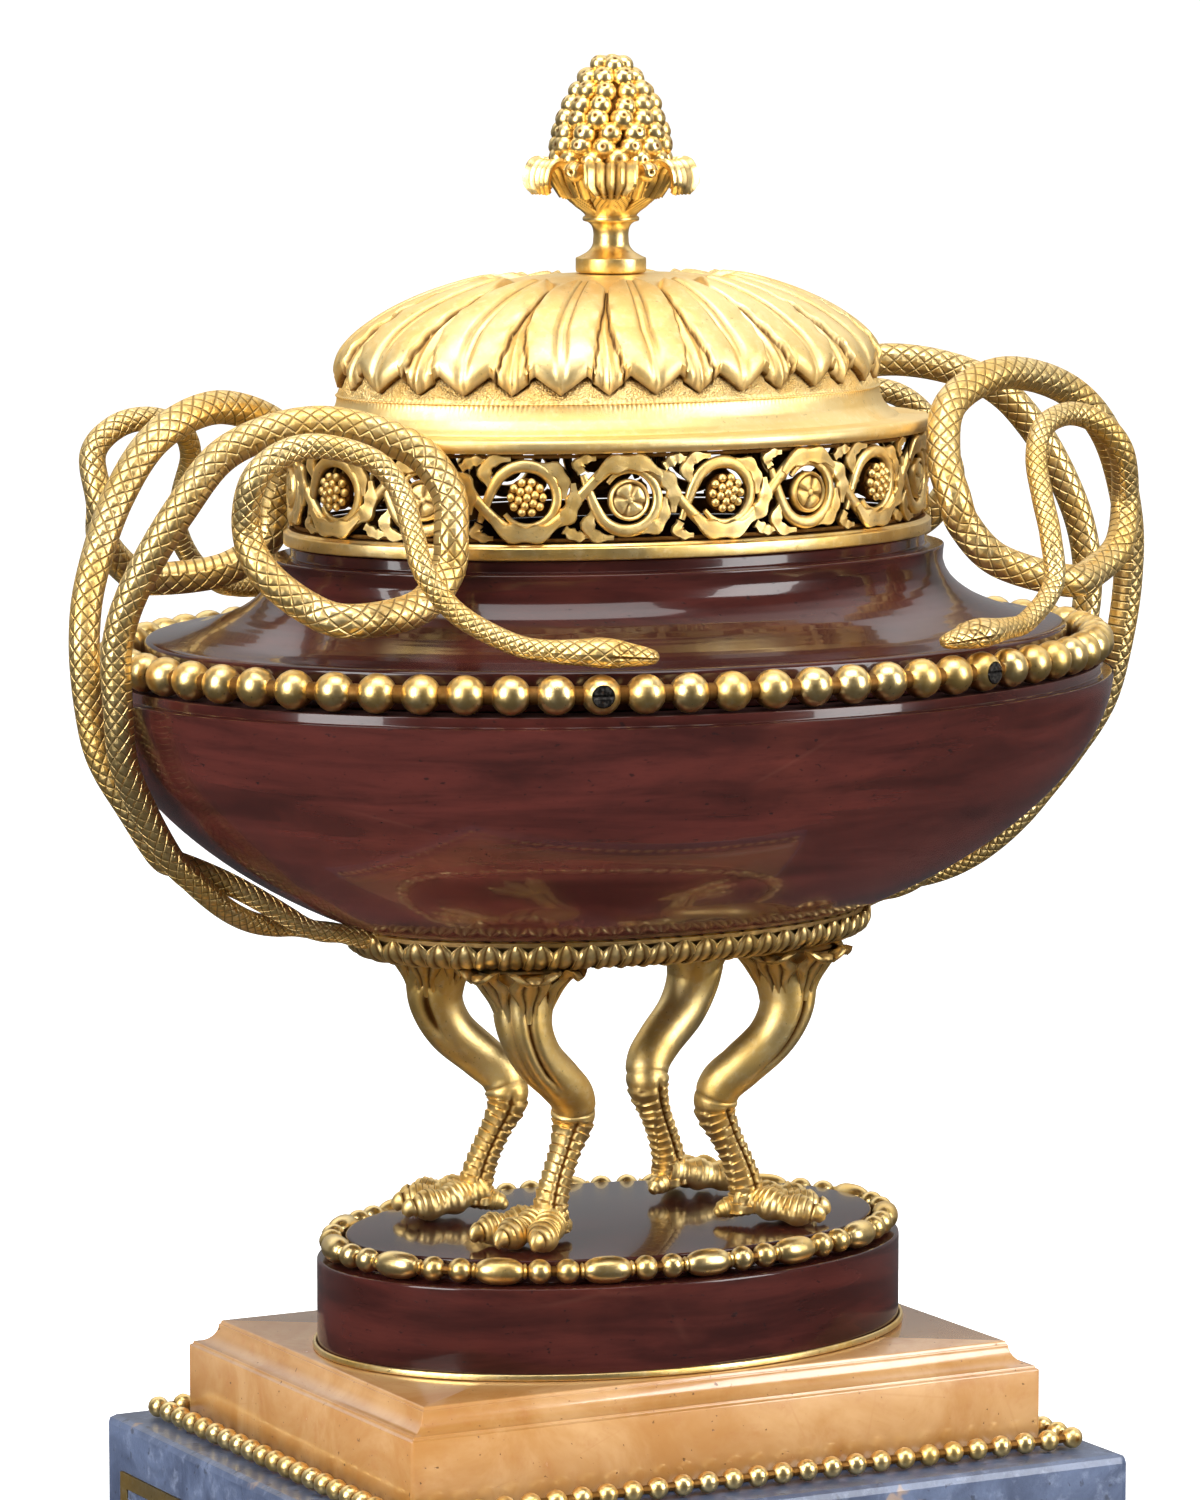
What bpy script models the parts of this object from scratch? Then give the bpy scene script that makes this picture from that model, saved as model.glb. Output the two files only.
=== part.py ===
"""Potpourri vase: an oval red marble vessel on four bird's legs, with gilt serpents, gallery and lid.

Metres, +Z up.  The origin is the centre of the underside of the blue marble block, +X runs along the
long axis, and -Y is the front.  Every turned piece is an oval whose half length and half depth differ
by a constant amount, as ornamental turning leaves it.
"""

import math

import bmesh
import bpy
import numpy as np

# Clearances
GAP = 0.0003                    # between two pieces that touch
GROOVE_CLEARANCE = 0.0003       # round a strip let into stone

# Blue marble block
BLOCK_HALF_LENGTH = 0.1215
BLOCK_HALF_DEPTH = 0.0957
BLOCK_HEIGHT = 0.0550
BLOCK_EDGE_ROUND = 0.0025

# Gilt frames let into the four faces of the block
PANEL_FROM_CORNER = 0.0114
PANEL_FROM_TOP = 0.0155
PANEL_FROM_UNDERSIDE = 0.0130
PANEL_STRIP_WIDTH = 0.0045
PANEL_STRIP_THICKNESS = 0.0030
PANEL_STRIP_PROUD = 0.0004

# String of beads on the block, round the yellow slab
BLOCK_BEAD_OFFSET = 0.0068      # from the slab's side to the middle of the beads
BLOCK_BEAD_RADIUS = 0.0032
BLOCK_BEAD_NECK = 0.0013
BLOCK_BEADS_LONG_SIDE = 27
BLOCK_BEADS_SHORT_SIDE = 20

# Yellow marble slab
SLAB_HALF_LENGTH = 0.1033
SLAB_HALF_DEPTH = 0.0752
SLAB_FACE_HEIGHT = 0.0230
SLAB_MOULDING_HEIGHT = 0.0080
SLAB_MOULDING_INSET = 0.0080
SLAB_FILLET = 0.0010

# Oval red marble plinth
PLINTH_HALF_LENGTH = 0.0914
PLINTH_HALF_DIFFERENCE = 0.01345
PLINTH_HEIGHT = 0.0266
PLINTH_TABLE_INSET = 0.0084
PLINTH_TABLE_RISE = 0.0067

# Gilt fillet round the plinth's foot
FOOT_FILLET_HEIGHT = 0.0018
FOOT_FILLET_WIDTH = 0.0011

# String of olives and beads on the plinth
PLINTH_STRING_INSET = 0.0040    # from the plinth's edge to the middle of the string
PLINTH_STRING_PERIODS = 15
OLIVE_RADIUS = 0.0040
OLIVE_SHARE = 0.48              # of one period
PLINTH_BEAD_RADIUS = 0.0035
PLINTH_STRING_NECK = 0.0014

# Legs
LEG_HEIGHT = 0.0820
LEG_SPREAD = 0.0340             # from the middle plane to the ankle, along X
LEG_SET_APART = 0.0240          # from the middle plane to the ankle, along Y
FOOT_TURN = 24.0                # degrees that a foot turns from X toward its corner
TOE_LENGTH = 0.0225
TOE_SPLAY = 0.0110
TOE_RADIUS = 0.0042
CLAW_RADIUS = 0.0016
SPUR_LENGTH = 0.0095

# Share of the leg's height, inward or outward of the ankle in X and in Y, radius
LEG_STATIONS = (
    (0.040, -0.0010, -0.0003, 0.0058),
    (0.130, -0.0016, -0.0003, 0.0050),
    (0.228, -0.0041, -0.0011, 0.0045),
    (0.321, -0.0074, -0.0022, 0.0047),
    (0.417, -0.0104, -0.0032, 0.0060),
    (0.505, -0.0093, -0.0015, 0.0066),
    (0.577, -0.0036, 0.0014, 0.0068),
    (0.673, 0.0048, 0.0038, 0.0073),
    (0.781, 0.0093, 0.0046, 0.0081),
    (0.894, 0.0098, 0.0037, 0.0095),
    (0.960, 0.0100, 0.0035, 0.0114),
    (1.060, 0.0102, 0.0035, 0.0150),
)

# Oval vessel: bowl, shoulder and what is turned with them
HALF_DIFFERENCE = 0.0150        # half of length less depth, the same at every height
BOWL_FOOT_HALF_LENGTH = 0.0550
BOWL_RIM_HALF_LENGTH = 0.1550
BOWL_DEPTH = 0.0766
BOWL_FLOOR = 0.0080
BOWL_MOUTH_INSET = 0.0160       # from the rim in to the mouth
BOWL_SWELL_LOW = 1.8            # exponents of the bowl's profile
BOWL_SWELL_HIGH = 1.4
LEDGE_WIDTH = 0.0037            # recessed ledge under the beads
LEDGE_DEPTH = 0.0030

# Leaf cup under the bowl
CUP_HALF_LENGTH = 0.0825
CUP_LOBE_HALF_LENGTH = 0.0765   # where the flat underside ends and the lobes turn up
CUP_LOBE_RISE = 0.0004
CUP_THICKNESS = 0.0022
CUP_LEAVES = 14
CUP_LEAF_NOTCH = 0.0040

# Belt of beads between bowl and shoulder
BELT_INSET = 0.0055             # from the bowl's rim to the middle of the beads
BELT_BEADS = 68
BELT_BEAD_RADIUS = 0.00565
BELT_BEAD_NECK = 0.0026
BELT_FACE_SHARE = 0.87          # of its radius, from a bead's middle to its screw's face
SCREW_BEAD = 12                 # beads from the long end to the screw
SCREW_HEAD_RADIUS = 0.0030
SCREW_HEAD_HEIGHT = 0.0020
SCREW_SLOT_WIDTH = 0.0008
SCREW_SLOT_DEPTH = 0.0007

# Shoulder
SHOULDER_RIM_INSET = 0.0140     # from the bowl's rim
SHOULDER_RIM_HEIGHT = 0.0108
SHOULDER_TOP_HALF_LENGTH = 0.1045
SHOULDER_HEIGHT = 0.0343
SHOULDER_WALL = 0.0075
SHOULDER_SWEEP = 3.2            # exponent of the hollow sweep
SEAT_INSET = 0.0060             # the seat that lifts the gallery
SEAT_RISE = 0.0034

# Gallery
GALLERY_HALF_LENGTH = 0.1005
GALLERY_BASE_HEIGHT = 0.0046
GALLERY_BASE_WIDTH = 0.0055
GALLERY_HEIGHT = 0.0249
GALLERY_RAIL_RADIUS = 0.0011
GALLERY_SCROLLS = 18
SCROLL_INSET = 0.0028           # from the base ring's outside to the middle of the scrolls
SCROLL_RADIUS = 0.0082
SCROLL_STEM_RADIUS = 0.0014
SCROLL_ENTERS = 168.0           # degrees round the rosette where the stem meets the scroll
SCROLL_TURN = 350.0             # degrees that the scroll turns before it meets the rosette
SCROLL_POINTS = 6
SCROLL_SHIFT = 0.0016           # of the rosette, away from the rail that its stem leaves
ROSETTE_RADIUS = 0.0050
ROSETTE_THICKNESS = 0.0032

# Lid
LID_FLANGE_HEIGHT = 0.0040
LID_BAND_INSET = 0.0100
LID_BAND_HEIGHT = 0.0070
LID_BAND_TAPER = 0.0062
LID_LEAVES = 32
LID_LEAF_LIFT = 0.0026
LID_LEAF_NOTCH = 0.0030
LID_LEAF_UNDERCUT = 0.0005
LID_STRIP_HEIGHT = 0.0012       # ribbed strip between the band and the leaf tips
LID_DOME_HEIGHT = 0.0288        # from the leaf tips up to the flat top
LID_TOP_HALF_LENGTH = 0.0400
LID_WALL = 0.0030
LID_DOME_SWELL = 2.33           # exponents of the dome
LID_DOME_FALL = 1.2

# Finial
FINIAL_BASE_RADIUS = 0.0103
FINIAL_BASE_HEIGHT = 0.0053
FINIAL_STEM_RADIUS = 0.0050
FINIAL_STEM_HEIGHT = 0.0057
FINIAL_RING_RADIUS = 0.0083
FINIAL_RING_HEIGHT = 0.0055
CALYX_RADIUS = 0.0232
CALYX_HEIGHT = 0.0160
CALYX_NECK_RADIUS = 0.0150
CALYX_RIM_RADIUS = 0.0185       # under the curled leaf tips
CALYX_CURL = 0.0022             # drop and thickness of the curled tips
CALYX_LEAVES = 10
BERRY_CONE_RADIUS = 0.0172
BERRY_CONE_HEIGHT = 0.0310
BERRY_RADIUS = 0.0012           # how far a berry stands out
BERRY_ROWS = 7
BERRY_CONE_SWELL = 2.0          # exponents of the cone's outline
BERRY_CONE_FALL = 0.6

# Serpents: outward of the bowl's rim, away from the middle plane, above the belt and radius, and how
# much further outward and upward the right pair runs
SERPENT_ROUTE = (
    (-0.0120, 0.0043, -0.0539, 0.0038, 0.0000, 0.0000),
    (-0.0032, 0.0052, -0.0399, 0.0041, 0.0035, 0.0000),
    (0.0046, 0.0080, -0.0250, 0.0043, 0.0050, 0.0000),
    (0.0073, 0.0103, -0.0097, 0.0044, 0.0062, 0.0006),
    (0.0080, 0.0114, 0.0089, 0.0046, 0.0084, 0.0032),
    (0.0040, 0.0152, 0.0259, 0.0047, 0.0096, 0.0076),
    (-0.0070, 0.0214, 0.0475, 0.0049, 0.0092, 0.0102),
    (-0.0213, 0.0250, 0.0645, 0.0050, 0.0064, 0.0080),
    (-0.0440, 0.0340, 0.0716, 0.0051, 0.0018, 0.0068),
    (-0.0672, 0.0440, 0.0650, 0.0051, 0.0015, 0.0060),
    (-0.0749, 0.0525, 0.0533, 0.0051, 0.0017, 0.0028),
    (-0.0735, 0.0580, 0.0408, 0.0051, 0.0006, 0.0041),
    (-0.0716, 0.0589, 0.0303, 0.0051, 0.0018, 0.0060),
    (-0.0598, 0.0636, 0.0213, 0.0051, -0.0010, 0.0048),
    (-0.0378, 0.0674, 0.0192, 0.0050, -0.0016, 0.0005),
    (-0.0278, 0.0611, 0.0228, 0.0048, 0.0012, -0.0013),
    (-0.0172, 0.0550, 0.0327, 0.0046, 0.0028, -0.0046),
    (-0.0143, 0.0500, 0.0440, 0.0043, 0.0050, -0.0034),
    (-0.0141, 0.0545, 0.0576, 0.0040, 0.0006, -0.0024),
    (-0.0220, 0.0560, 0.0652, 0.0038, 0.0000, -0.0010),
    (-0.0333, 0.0576, 0.0672, 0.0036, -0.0001, 0.0005),
    (-0.0462, 0.0641, 0.0633, 0.0034, -0.0002, 0.0015),
    (-0.0520, 0.0694, 0.0551, 0.0033, -0.0001, 0.0011),
    (-0.0524, 0.0763, 0.0440, 0.0033, -0.0018, 0.0016),
    (-0.0532, 0.0824, 0.0331, 0.0033, -0.0018, 0.0014),
    (-0.0606, 0.0876, 0.0220, 0.0032, 0.0034, -0.0009),
    (-0.0728, 0.0960, 0.0141, 0.0031, 0.0017, -0.0020),
    (-0.0820, 0.1020, 0.0120, 0.0033, 0.0002, -0.0010),
    (-0.0935, 0.1078, 0.0116, 0.0046, -0.0002, -0.0007),
    (-0.1020, 0.1106, 0.0108, 0.0041, 0.0007, -0.0006),
    (-0.1100, 0.1120, 0.0098, 0.0024, 0.0013, -0.0005),
)
SERPENT_SPACING = 0.0130        # between the points that carry the tube
TAIL_RADIUS = 0.0027
TAIL_STATIONS = 7               # points from the cup to the end of the half turn that the tails make
TAIL_STRAIGHT = 0.19            # share of that way before the half turn begins
TAIL_APART = 1.40               # of its radius, from the twist's middle line to each tail's
TAIL_SAG = 0.0008               # extra room between the tails and the bowl
TAIL_RISE = 1.40                # exponent of the tails' upward curve

# Facets
OVAL_STEPS = 32
PLINTH_STEPS = 28
RAIL_STEPS = 24
SAMPLES = 720                   # for measuring along an oval

# Finishes: colour, roughness, metallic
GILT = ("gilt_bronze", (0.83, 0.60, 0.22), 0.28, 1.0)
RED_MARBLE = ("red_marble", (0.16, 0.035, 0.028), 0.12, 0.0)
YELLOW_MARBLE = ("yellow_marble", (0.70, 0.36, 0.12), 0.18, 0.0)
BLUE_MARBLE = ("blue_marble", (0.15, 0.20, 0.33), 0.45, 0.0)
IRON = ("dark_iron", (0.03, 0.028, 0.027), 0.5, 1.0)

# Heights worked out from the pieces below
SLAB_BASE = BLOCK_HEIGHT + GAP
SLAB_TOP = SLAB_BASE + SLAB_FACE_HEIGHT + SLAB_MOULDING_HEIGHT
PLINTH_BASE = SLAB_TOP + GAP
PLINTH_TOP = PLINTH_BASE + PLINTH_HEIGHT
TABLE_TOP = PLINTH_TOP + PLINTH_TABLE_RISE
LEG_BASE = TABLE_TOP + GAP
LEG_TOP = LEG_BASE + LEG_HEIGHT
CUP_BASE = LEG_TOP + GAP
BOWL_BASE = CUP_BASE + CUP_THICKNESS + GAP
BOWL_EDGE = BOWL_BASE + BOWL_DEPTH
BOWL_TOP = BOWL_EDGE + LEDGE_DEPTH
BELT_HEIGHT = BOWL_TOP + GAP + BELT_BEAD_RADIUS
SHOULDER_BASE = BOWL_TOP + GAP
SHOULDER_TOP = SHOULDER_BASE + SHOULDER_HEIGHT
SEAT_TOP = SHOULDER_TOP + SEAT_RISE
GALLERY_BASE = SEAT_TOP + GAP
SCROLL_BASE = GALLERY_BASE + GALLERY_BASE_HEIGHT + GAP
SCROLL_TOP = SCROLL_BASE + GALLERY_HEIGHT
LID_BASE = SCROLL_TOP + GAP
LID_BAND_TOP = LID_BASE + LID_FLANGE_HEIGHT + LID_BAND_HEIGHT
LID_TIPS = LID_BAND_TOP + LID_STRIP_HEIGHT + LID_LEAF_NOTCH + LID_LEAF_LIFT
LID_TOP = LID_TIPS + LID_DOME_HEIGHT
FINIAL_BASE = LID_TOP + GAP


def clear_scene():
    """Remove the objects of the scene that the script starts in."""
    for thing in list(bpy.data.objects):
        bpy.data.objects.remove(thing, do_unlink=True)


def new_collection(name):
    """A collection linked to the scene."""
    collection = bpy.data.collections.new(name)
    bpy.context.scene.collection.children.link(collection)
    return collection


def finish(name, colour, roughness, metallic):
    """A material with the finish's colour, roughness and metallic value."""
    material = bpy.data.materials.new(name)
    material.use_nodes = True
    shader = material.node_tree.nodes["Principled BSDF"]
    shader.inputs["Base Color"].default_value = (*colour, 1.0)
    shader.inputs["Roughness"].default_value = roughness
    shader.inputs["Metallic"].default_value = metallic
    return material


def place_in(collection, name, data):
    """An object made from a mesh or a curve, linked to the collection."""
    thing = bpy.data.objects.new(name, data)
    collection.objects.link(thing)
    return thing


def evaluated_mesh(thing):
    """The object's mesh with its modifiers, or its curve as a mesh with welded caps."""
    bpy.context.view_layer.update()
    graph = bpy.context.evaluated_depsgraph_get()
    mesh = bpy.data.meshes.new_from_object(thing.evaluated_get(graph))
    working = bmesh.new()
    working.from_mesh(mesh)
    bmesh.ops.remove_doubles(working, verts=working.verts, dist=0.00001)
    working.to_mesh(mesh)
    working.free()
    return mesh


def fixed(collection, name, thing):
    """Replace a curve or a modified object by its mesh, under its final name."""
    solid = place_in(collection, name, evaluated_mesh(thing))
    solid.matrix_world = thing.matrix_world.copy()
    bpy.data.objects.remove(thing, do_unlink=True)
    return solid


def finished(thing, material, smooth_below=0.0):
    """Give the object its material, and smooth shading where edges are blunter than the angle."""
    thing.data.materials.clear()
    thing.data.materials.append(material)
    if smooth_below:
        thing.data.shade_smooth()
        thing.data.set_sharp_from_angle(angle=smooth_below)
    return thing


def as_cutter(thing):
    """Keep an object out of the model: it only cuts."""
    thing.hide_render = True
    thing.display_type = "WIRE"
    return thing


def combined(parts, name, thing, others, operation):
    """Join or cut a mesh with others, one after another, and keep the result as one mesh."""
    for other in others:
        step = thing.modifiers.new(other.name, "BOOLEAN")
        step.operation = operation
        step.object = other
    solid = fixed(parts, name, thing)
    for other in others:
        bpy.data.objects.remove(other, do_unlink=True)
    return solid


def oval_points(half_length, half_depth, shares):
    """Points of an oval at the given shares of its way round, and the outward direction there."""
    angle = np.linspace(0.0, 2.0 * math.pi, SAMPLES + 1)
    x = half_length * np.cos(angle)
    y = half_depth * np.sin(angle)
    steps = np.hypot(np.diff(x), np.diff(y))
    way = np.concatenate(([0.0], np.cumsum(steps)))
    at = np.interp(np.mod(shares, 1.0) * way[-1], way, angle)
    points = np.column_stack((half_length * np.cos(at), half_depth * np.sin(at)))
    outward = np.column_stack((half_depth * np.cos(at), half_length * np.sin(at)))
    outward /= np.linalg.norm(outward, axis=1)[:, None]
    return points, outward


def oval_length(half_length, half_depth):
    """The way round an oval."""
    angle = np.linspace(0.0, 2.0 * math.pi, SAMPLES + 1)
    return float(np.hypot(np.diff(half_length * np.cos(angle)), np.diff(half_depth * np.sin(angle))).sum())


def turned(parts, name, profile, steps, half_difference=0.0, leaves=0, lift=None):
    """Turn a profile of radius and height, then draw the round out to an oval.

    The profile runs from the inside at the top round to the outside and down.  With leaves, each ring
    is moved out and up by its own lift times the cosine of the leaf count times the angle.
    """
    mesh = bpy.data.meshes.new(name)
    edges = [(i, i + 1) for i in range(len(profile) - 1)]
    mesh.from_pydata([(radius, 0.0, height) for radius, height in profile], edges, [])
    blank = place_in(parts, name + "_blank", mesh)
    screw = blank.modifiers.new("turn", "SCREW")
    screw.steps = steps
    screw.render_steps = steps
    screw.use_merge_vertices = True
    screw.merge_threshold = 0.00001
    solid = fixed(parts, name, blank)
    points = np.array([vertex.co[:] for vertex in solid.data.vertices])
    radius = np.hypot(points[:, 0], points[:, 1])
    angle = np.arctan2(points[:, 1], points[:, 0])
    if leaves:
        rings = np.array(profile)
        apart = np.abs(radius[:, None] - rings[:, 0]) + np.abs(points[:, 2:] - rings[:, 1])
        own = np.array(lift)[np.argmin(apart, axis=1)]
        wave = np.cos(leaves * angle)
        radius = radius + own[:, 0] * wave
        points[:, 2] += own[:, 1] * wave
    off_axis = radius > 0.0001
    points[:, 0] = np.where(off_axis, (radius + half_difference) * np.cos(angle), 0.0)
    points[:, 1] = np.where(off_axis, (radius - half_difference) * np.sin(angle), 0.0)
    solid.data.vertices.foreach_set("co", points.astype(np.float32).ravel())
    solid.data.update()
    return solid


def vessel_ring(half_length, height):
    """A profile point of the vessel, from its half length."""
    return (half_length - HALF_DIFFERENCE, height)


def string_of(parts, name, points, radii, closed, detail):
    """A tube along the points whose radius changes from point to point."""
    curve = bpy.data.curves.new(name, "CURVE")
    curve.dimensions = "3D"
    curve.bevel_depth = 1.0
    curve.bevel_resolution = detail
    curve.use_fill_caps = not closed
    spline = curve.splines.new("POLY")
    spline.points.add(len(points) - 1)
    for knot, point, radius in zip(spline.points, points, radii):
        knot.co = (*point, 1.0)
        knot.radius = radius
    spline.use_cyclic_u = closed
    return fixed(parts, name, place_in(parts, name + "_wire", curve))


def smooth_route(stations, spacing):
    """Points at an even spacing on a smooth curve through the stations, all columns alike."""
    rows = np.array(stations)
    ends = np.vstack((2.0 * rows[0] - rows[1], rows, 2.0 * rows[-1] - rows[-2]))
    share = np.linspace(0.0, 1.0, 24, endpoint=False)[:, None]
    pieces = []
    for before, start, stop, after in zip(ends[:-3], ends[1:-2], ends[2:-1], ends[3:]):
        tangent_in = (stop - before) / 2.0
        tangent_out = (after - start) / 2.0
        pieces.append(
            (2.0 * share**3 - 3.0 * share**2 + 1.0) * start
            + (share**3 - 2.0 * share**2 + share) * tangent_in
            + (3.0 * share**2 - 2.0 * share**3) * stop
            + (share**3 - share**2) * tangent_out
        )
    fine = np.vstack((*pieces, rows[-1]))
    way = np.concatenate(([0.0], np.cumsum(np.linalg.norm(np.diff(fine[:, :3], axis=0), axis=1))))
    count = max(2, int(round(way[-1] / spacing)) + 1)
    even = np.linspace(0.0, way[-1], count)
    return np.column_stack([np.interp(even, way, fine[:, i]) for i in range(fine.shape[1])])


def flat_frame(parts, name, half_length, half_height, strip, thickness):
    """A rectangular frame of flat strip, lying in the XY plane round the origin."""
    curve = bpy.data.curves.new(name, "CURVE")
    curve.dimensions = "2D"
    curve.fill_mode = "BOTH"
    curve.extrude = thickness / 2.0
    for inset in (0.0, strip):
        spline = curve.splines.new("POLY")
        spline.points.add(3)
        corners = ((-1, -1), (1, -1), (1, 1), (-1, 1))
        for knot, (right, up) in zip(spline.points, corners):
            knot.co = (right * (half_length - inset), up * (half_height - inset), 0.0, 1.0)
        spline.use_cyclic_u = True
    return fixed(parts, name, place_in(parts, name + "_outline", curve))


def panel_places():
    """Name, half length, outward distance and turn of the frame on each face of the block."""
    half_long = BLOCK_HALF_LENGTH - PANEL_FROM_CORNER
    half_short = BLOCK_HALF_DEPTH - PANEL_FROM_CORNER
    return (
        ("front", half_long, BLOCK_HALF_DEPTH, 0.0),
        ("right", half_short, BLOCK_HALF_LENGTH, 90.0),
        ("back", half_long, BLOCK_HALF_DEPTH, 180.0),
        ("left", half_short, BLOCK_HALF_LENGTH, 270.0),
    )


def stand_on_face(thing, distance, height, turn):
    """Stand a flat thing upright, facing outward, its middle at the given distance and height."""
    angle = math.radians(turn)
    thing.rotation_euler = (math.pi / 2.0, 0.0, angle)
    thing.location = (distance * math.sin(angle), -distance * math.cos(angle), height)
    return thing


def build_block(parts, cutters, stone, gilt):
    """The blue block with a groove in each face, and the gilt frames let into the grooves."""
    top = BLOCK_HEIGHT - PANEL_FROM_TOP
    half_height = (top - PANEL_FROM_UNDERSIDE) / 2.0
    middle = (top + PANEL_FROM_UNDERSIDE) / 2.0
    mesh = bpy.data.meshes.new("blue_block")
    working = bmesh.new()
    bmesh.ops.create_cube(working, size=1.0)
    size = (2 * BLOCK_HALF_LENGTH, 2 * BLOCK_HALF_DEPTH, BLOCK_HEIGHT)
    bmesh.ops.scale(working, vec=size, verts=working.verts)
    bmesh.ops.translate(working, vec=(0.0, 0.0, BLOCK_HEIGHT / 2.0), verts=working.verts)
    working.to_mesh(mesh)
    working.free()
    block = place_in(parts, "blue_block", mesh)
    rounding = block.modifiers.new("edge", "BEVEL")
    rounding.width = BLOCK_EDGE_ROUND
    rounding.segments = 2
    for side, half_length, distance, turn in panel_places():
        groove = flat_frame(
            cutters,
            "groove_" + side,
            half_length + GROOVE_CLEARANCE,
            half_height + GROOVE_CLEARANCE,
            PANEL_STRIP_WIDTH + 2 * GROOVE_CLEARANCE,
            2 * (PANEL_STRIP_THICKNESS - PANEL_STRIP_PROUD + GROOVE_CLEARANCE),
        )
        as_cutter(stand_on_face(groove, distance, middle, turn))
        cut = block.modifiers.new("groove_" + side, "BOOLEAN")
        cut.operation = "DIFFERENCE"
        cut.object = groove
        frame = flat_frame(
            parts, "panel_frame_" + side, half_length, half_height, PANEL_STRIP_WIDTH, PANEL_STRIP_THICKNESS
        )
        stand_on_face(frame, distance + PANEL_STRIP_PROUD - PANEL_STRIP_THICKNESS / 2.0, middle, turn)
        finished(frame, gilt)
    finished(block, stone)


def build_slab(parts, stone):
    """The yellow slab: a four-sided turning whose corners are drawn out to a rectangle."""
    half_side = (SLAB_HALF_LENGTH + SLAB_HALF_DEPTH) / 2.0
    stretch = (SLAB_HALF_LENGTH - SLAB_HALF_DEPTH) / 2.0
    face_top = SLAB_BASE + SLAB_FACE_HEIGHT
    top = SLAB_TOP
    inward = SLAB_MOULDING_INSET - 2 * SLAB_FILLET
    upward = SLAB_MOULDING_HEIGHT - 2 * SLAB_FILLET
    curve = [
        (SLAB_FILLET + inward * math.sin(angle), face_top + SLAB_FILLET + upward * (1.0 - math.cos(angle)))
        for angle in np.linspace(0.0, math.pi / 2.0, 5)
    ]
    steps = [(SLAB_MOULDING_INSET, top)] + curve[::-1] + [(0.0, face_top), (0.0, SLAB_BASE)]
    profile = [(0.0, top)] + [(half_side - inset, height) for inset, height in steps] + [(0.0, SLAB_BASE)]
    slab = turned(parts, "siena_slab", profile, 4)
    for vertex in slab.data.vertices:
        along = abs(vertex.co.x) + abs(vertex.co.y)
        if along > GAP:
            turned_x = vertex.co.x + vertex.co.y
            turned_y = vertex.co.y - vertex.co.x
            vertex.co.x = turned_x + math.copysign(stretch, turned_x)
            vertex.co.y = turned_y - math.copysign(stretch, turned_y)
    finished(slab, stone)


def build_block_beads(parts, gilt):
    """Beads in a rectangle on the block, with a bead on each corner."""
    half_length = SLAB_HALF_LENGTH + BLOCK_BEAD_OFFSET
    half_depth = SLAB_HALF_DEPTH + BLOCK_BEAD_OFFSET
    height = BLOCK_HEIGHT + GAP + BLOCK_BEAD_RADIUS
    corners = np.array(((1, -1), (1, 1), (-1, 1), (-1, -1), (1, -1))) * (half_length, half_depth)
    counts = (BLOCK_BEADS_SHORT_SIDE, BLOCK_BEADS_LONG_SIDE) * 2
    points = []
    for start, stop, count in zip(corners[:-1], corners[1:], counts):
        share = np.arange(2 * count)[:, None] / (2 * count)
        points.extend(start + (stop - start) * share)
    path = [(x, y, height) for x, y in points]
    radii = [BLOCK_BEAD_RADIUS, BLOCK_BEAD_NECK] * (len(path) // 2)
    finished(string_of(parts, "block_bead_moulding", path, radii, True, 0), gilt, math.radians(80))


def build_plinth(parts, stone, gilt):
    """The oval plinth with its raised table, and the gilt fillet round its foot."""
    edge = PLINTH_HALF_LENGTH - PLINTH_HALF_DIFFERENCE
    table = edge - PLINTH_TABLE_INSET
    profile = (
        (0.0, TABLE_TOP),
        (table, TABLE_TOP),
        (table, PLINTH_TOP),
        (edge, PLINTH_TOP),
        (edge, PLINTH_BASE),
        (0.0, PLINTH_BASE),
    )
    plinth = turned(parts, "oval_plinth", profile, PLINTH_STEPS, PLINTH_HALF_DIFFERENCE)
    finished(plinth, stone, math.radians(30))
    inside = edge + GAP
    outside = inside + FOOT_FILLET_WIDTH
    ring = (
        (inside, PLINTH_BASE),
        (inside, PLINTH_BASE + FOOT_FILLET_HEIGHT),
        (outside, PLINTH_BASE + FOOT_FILLET_HEIGHT),
        (outside, PLINTH_BASE),
        (inside, PLINTH_BASE),
    )
    fillet = turned(parts, "plinth_foot_fillet", ring, PLINTH_STEPS, PLINTH_HALF_DIFFERENCE)
    finished(fillet, gilt, math.radians(30))


def build_plinth_string(parts, gilt):
    """Olives with two beads between them, all round the edge of the plinth."""
    half_length = PLINTH_HALF_LENGTH - PLINTH_STRING_INSET
    half_depth = half_length - 2 * PLINTH_HALF_DIFFERENCE
    bead = (1.0 - OLIVE_SHARE) / 4.0
    period = (
        (0.0, PLINTH_STRING_NECK),
        (OLIVE_SHARE * 0.3, OLIVE_RADIUS),
        (OLIVE_SHARE * 0.7, OLIVE_RADIUS),
        (OLIVE_SHARE, PLINTH_STRING_NECK),
        (OLIVE_SHARE + bead, PLINTH_BEAD_RADIUS),
        (OLIVE_SHARE + 2 * bead, PLINTH_STRING_NECK),
        (OLIVE_SHARE + 3 * bead, PLINTH_BEAD_RADIUS),
    )
    places = np.array([part for part, _ in period])
    share = (np.arange(PLINTH_STRING_PERIODS)[:, None] + places).ravel() / PLINTH_STRING_PERIODS
    points, _ = oval_points(half_length, half_depth, share)
    height = PLINTH_TOP + GAP + OLIVE_RADIUS
    radii = [radius for _, radius in period] * PLINTH_STRING_PERIODS
    path = [(x, y, height) for x, y in points]
    finished(string_of(parts, "plinth_bead_ring", path, radii, True, 0), gilt, math.radians(80))


def corner_name(side_x, side_y):
    """The name of the corner that a leg, a screw or a serpent stands at."""
    return ("back" if side_y > 0 else "front") + "_" + ("right" if side_x > 0 else "left")


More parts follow.
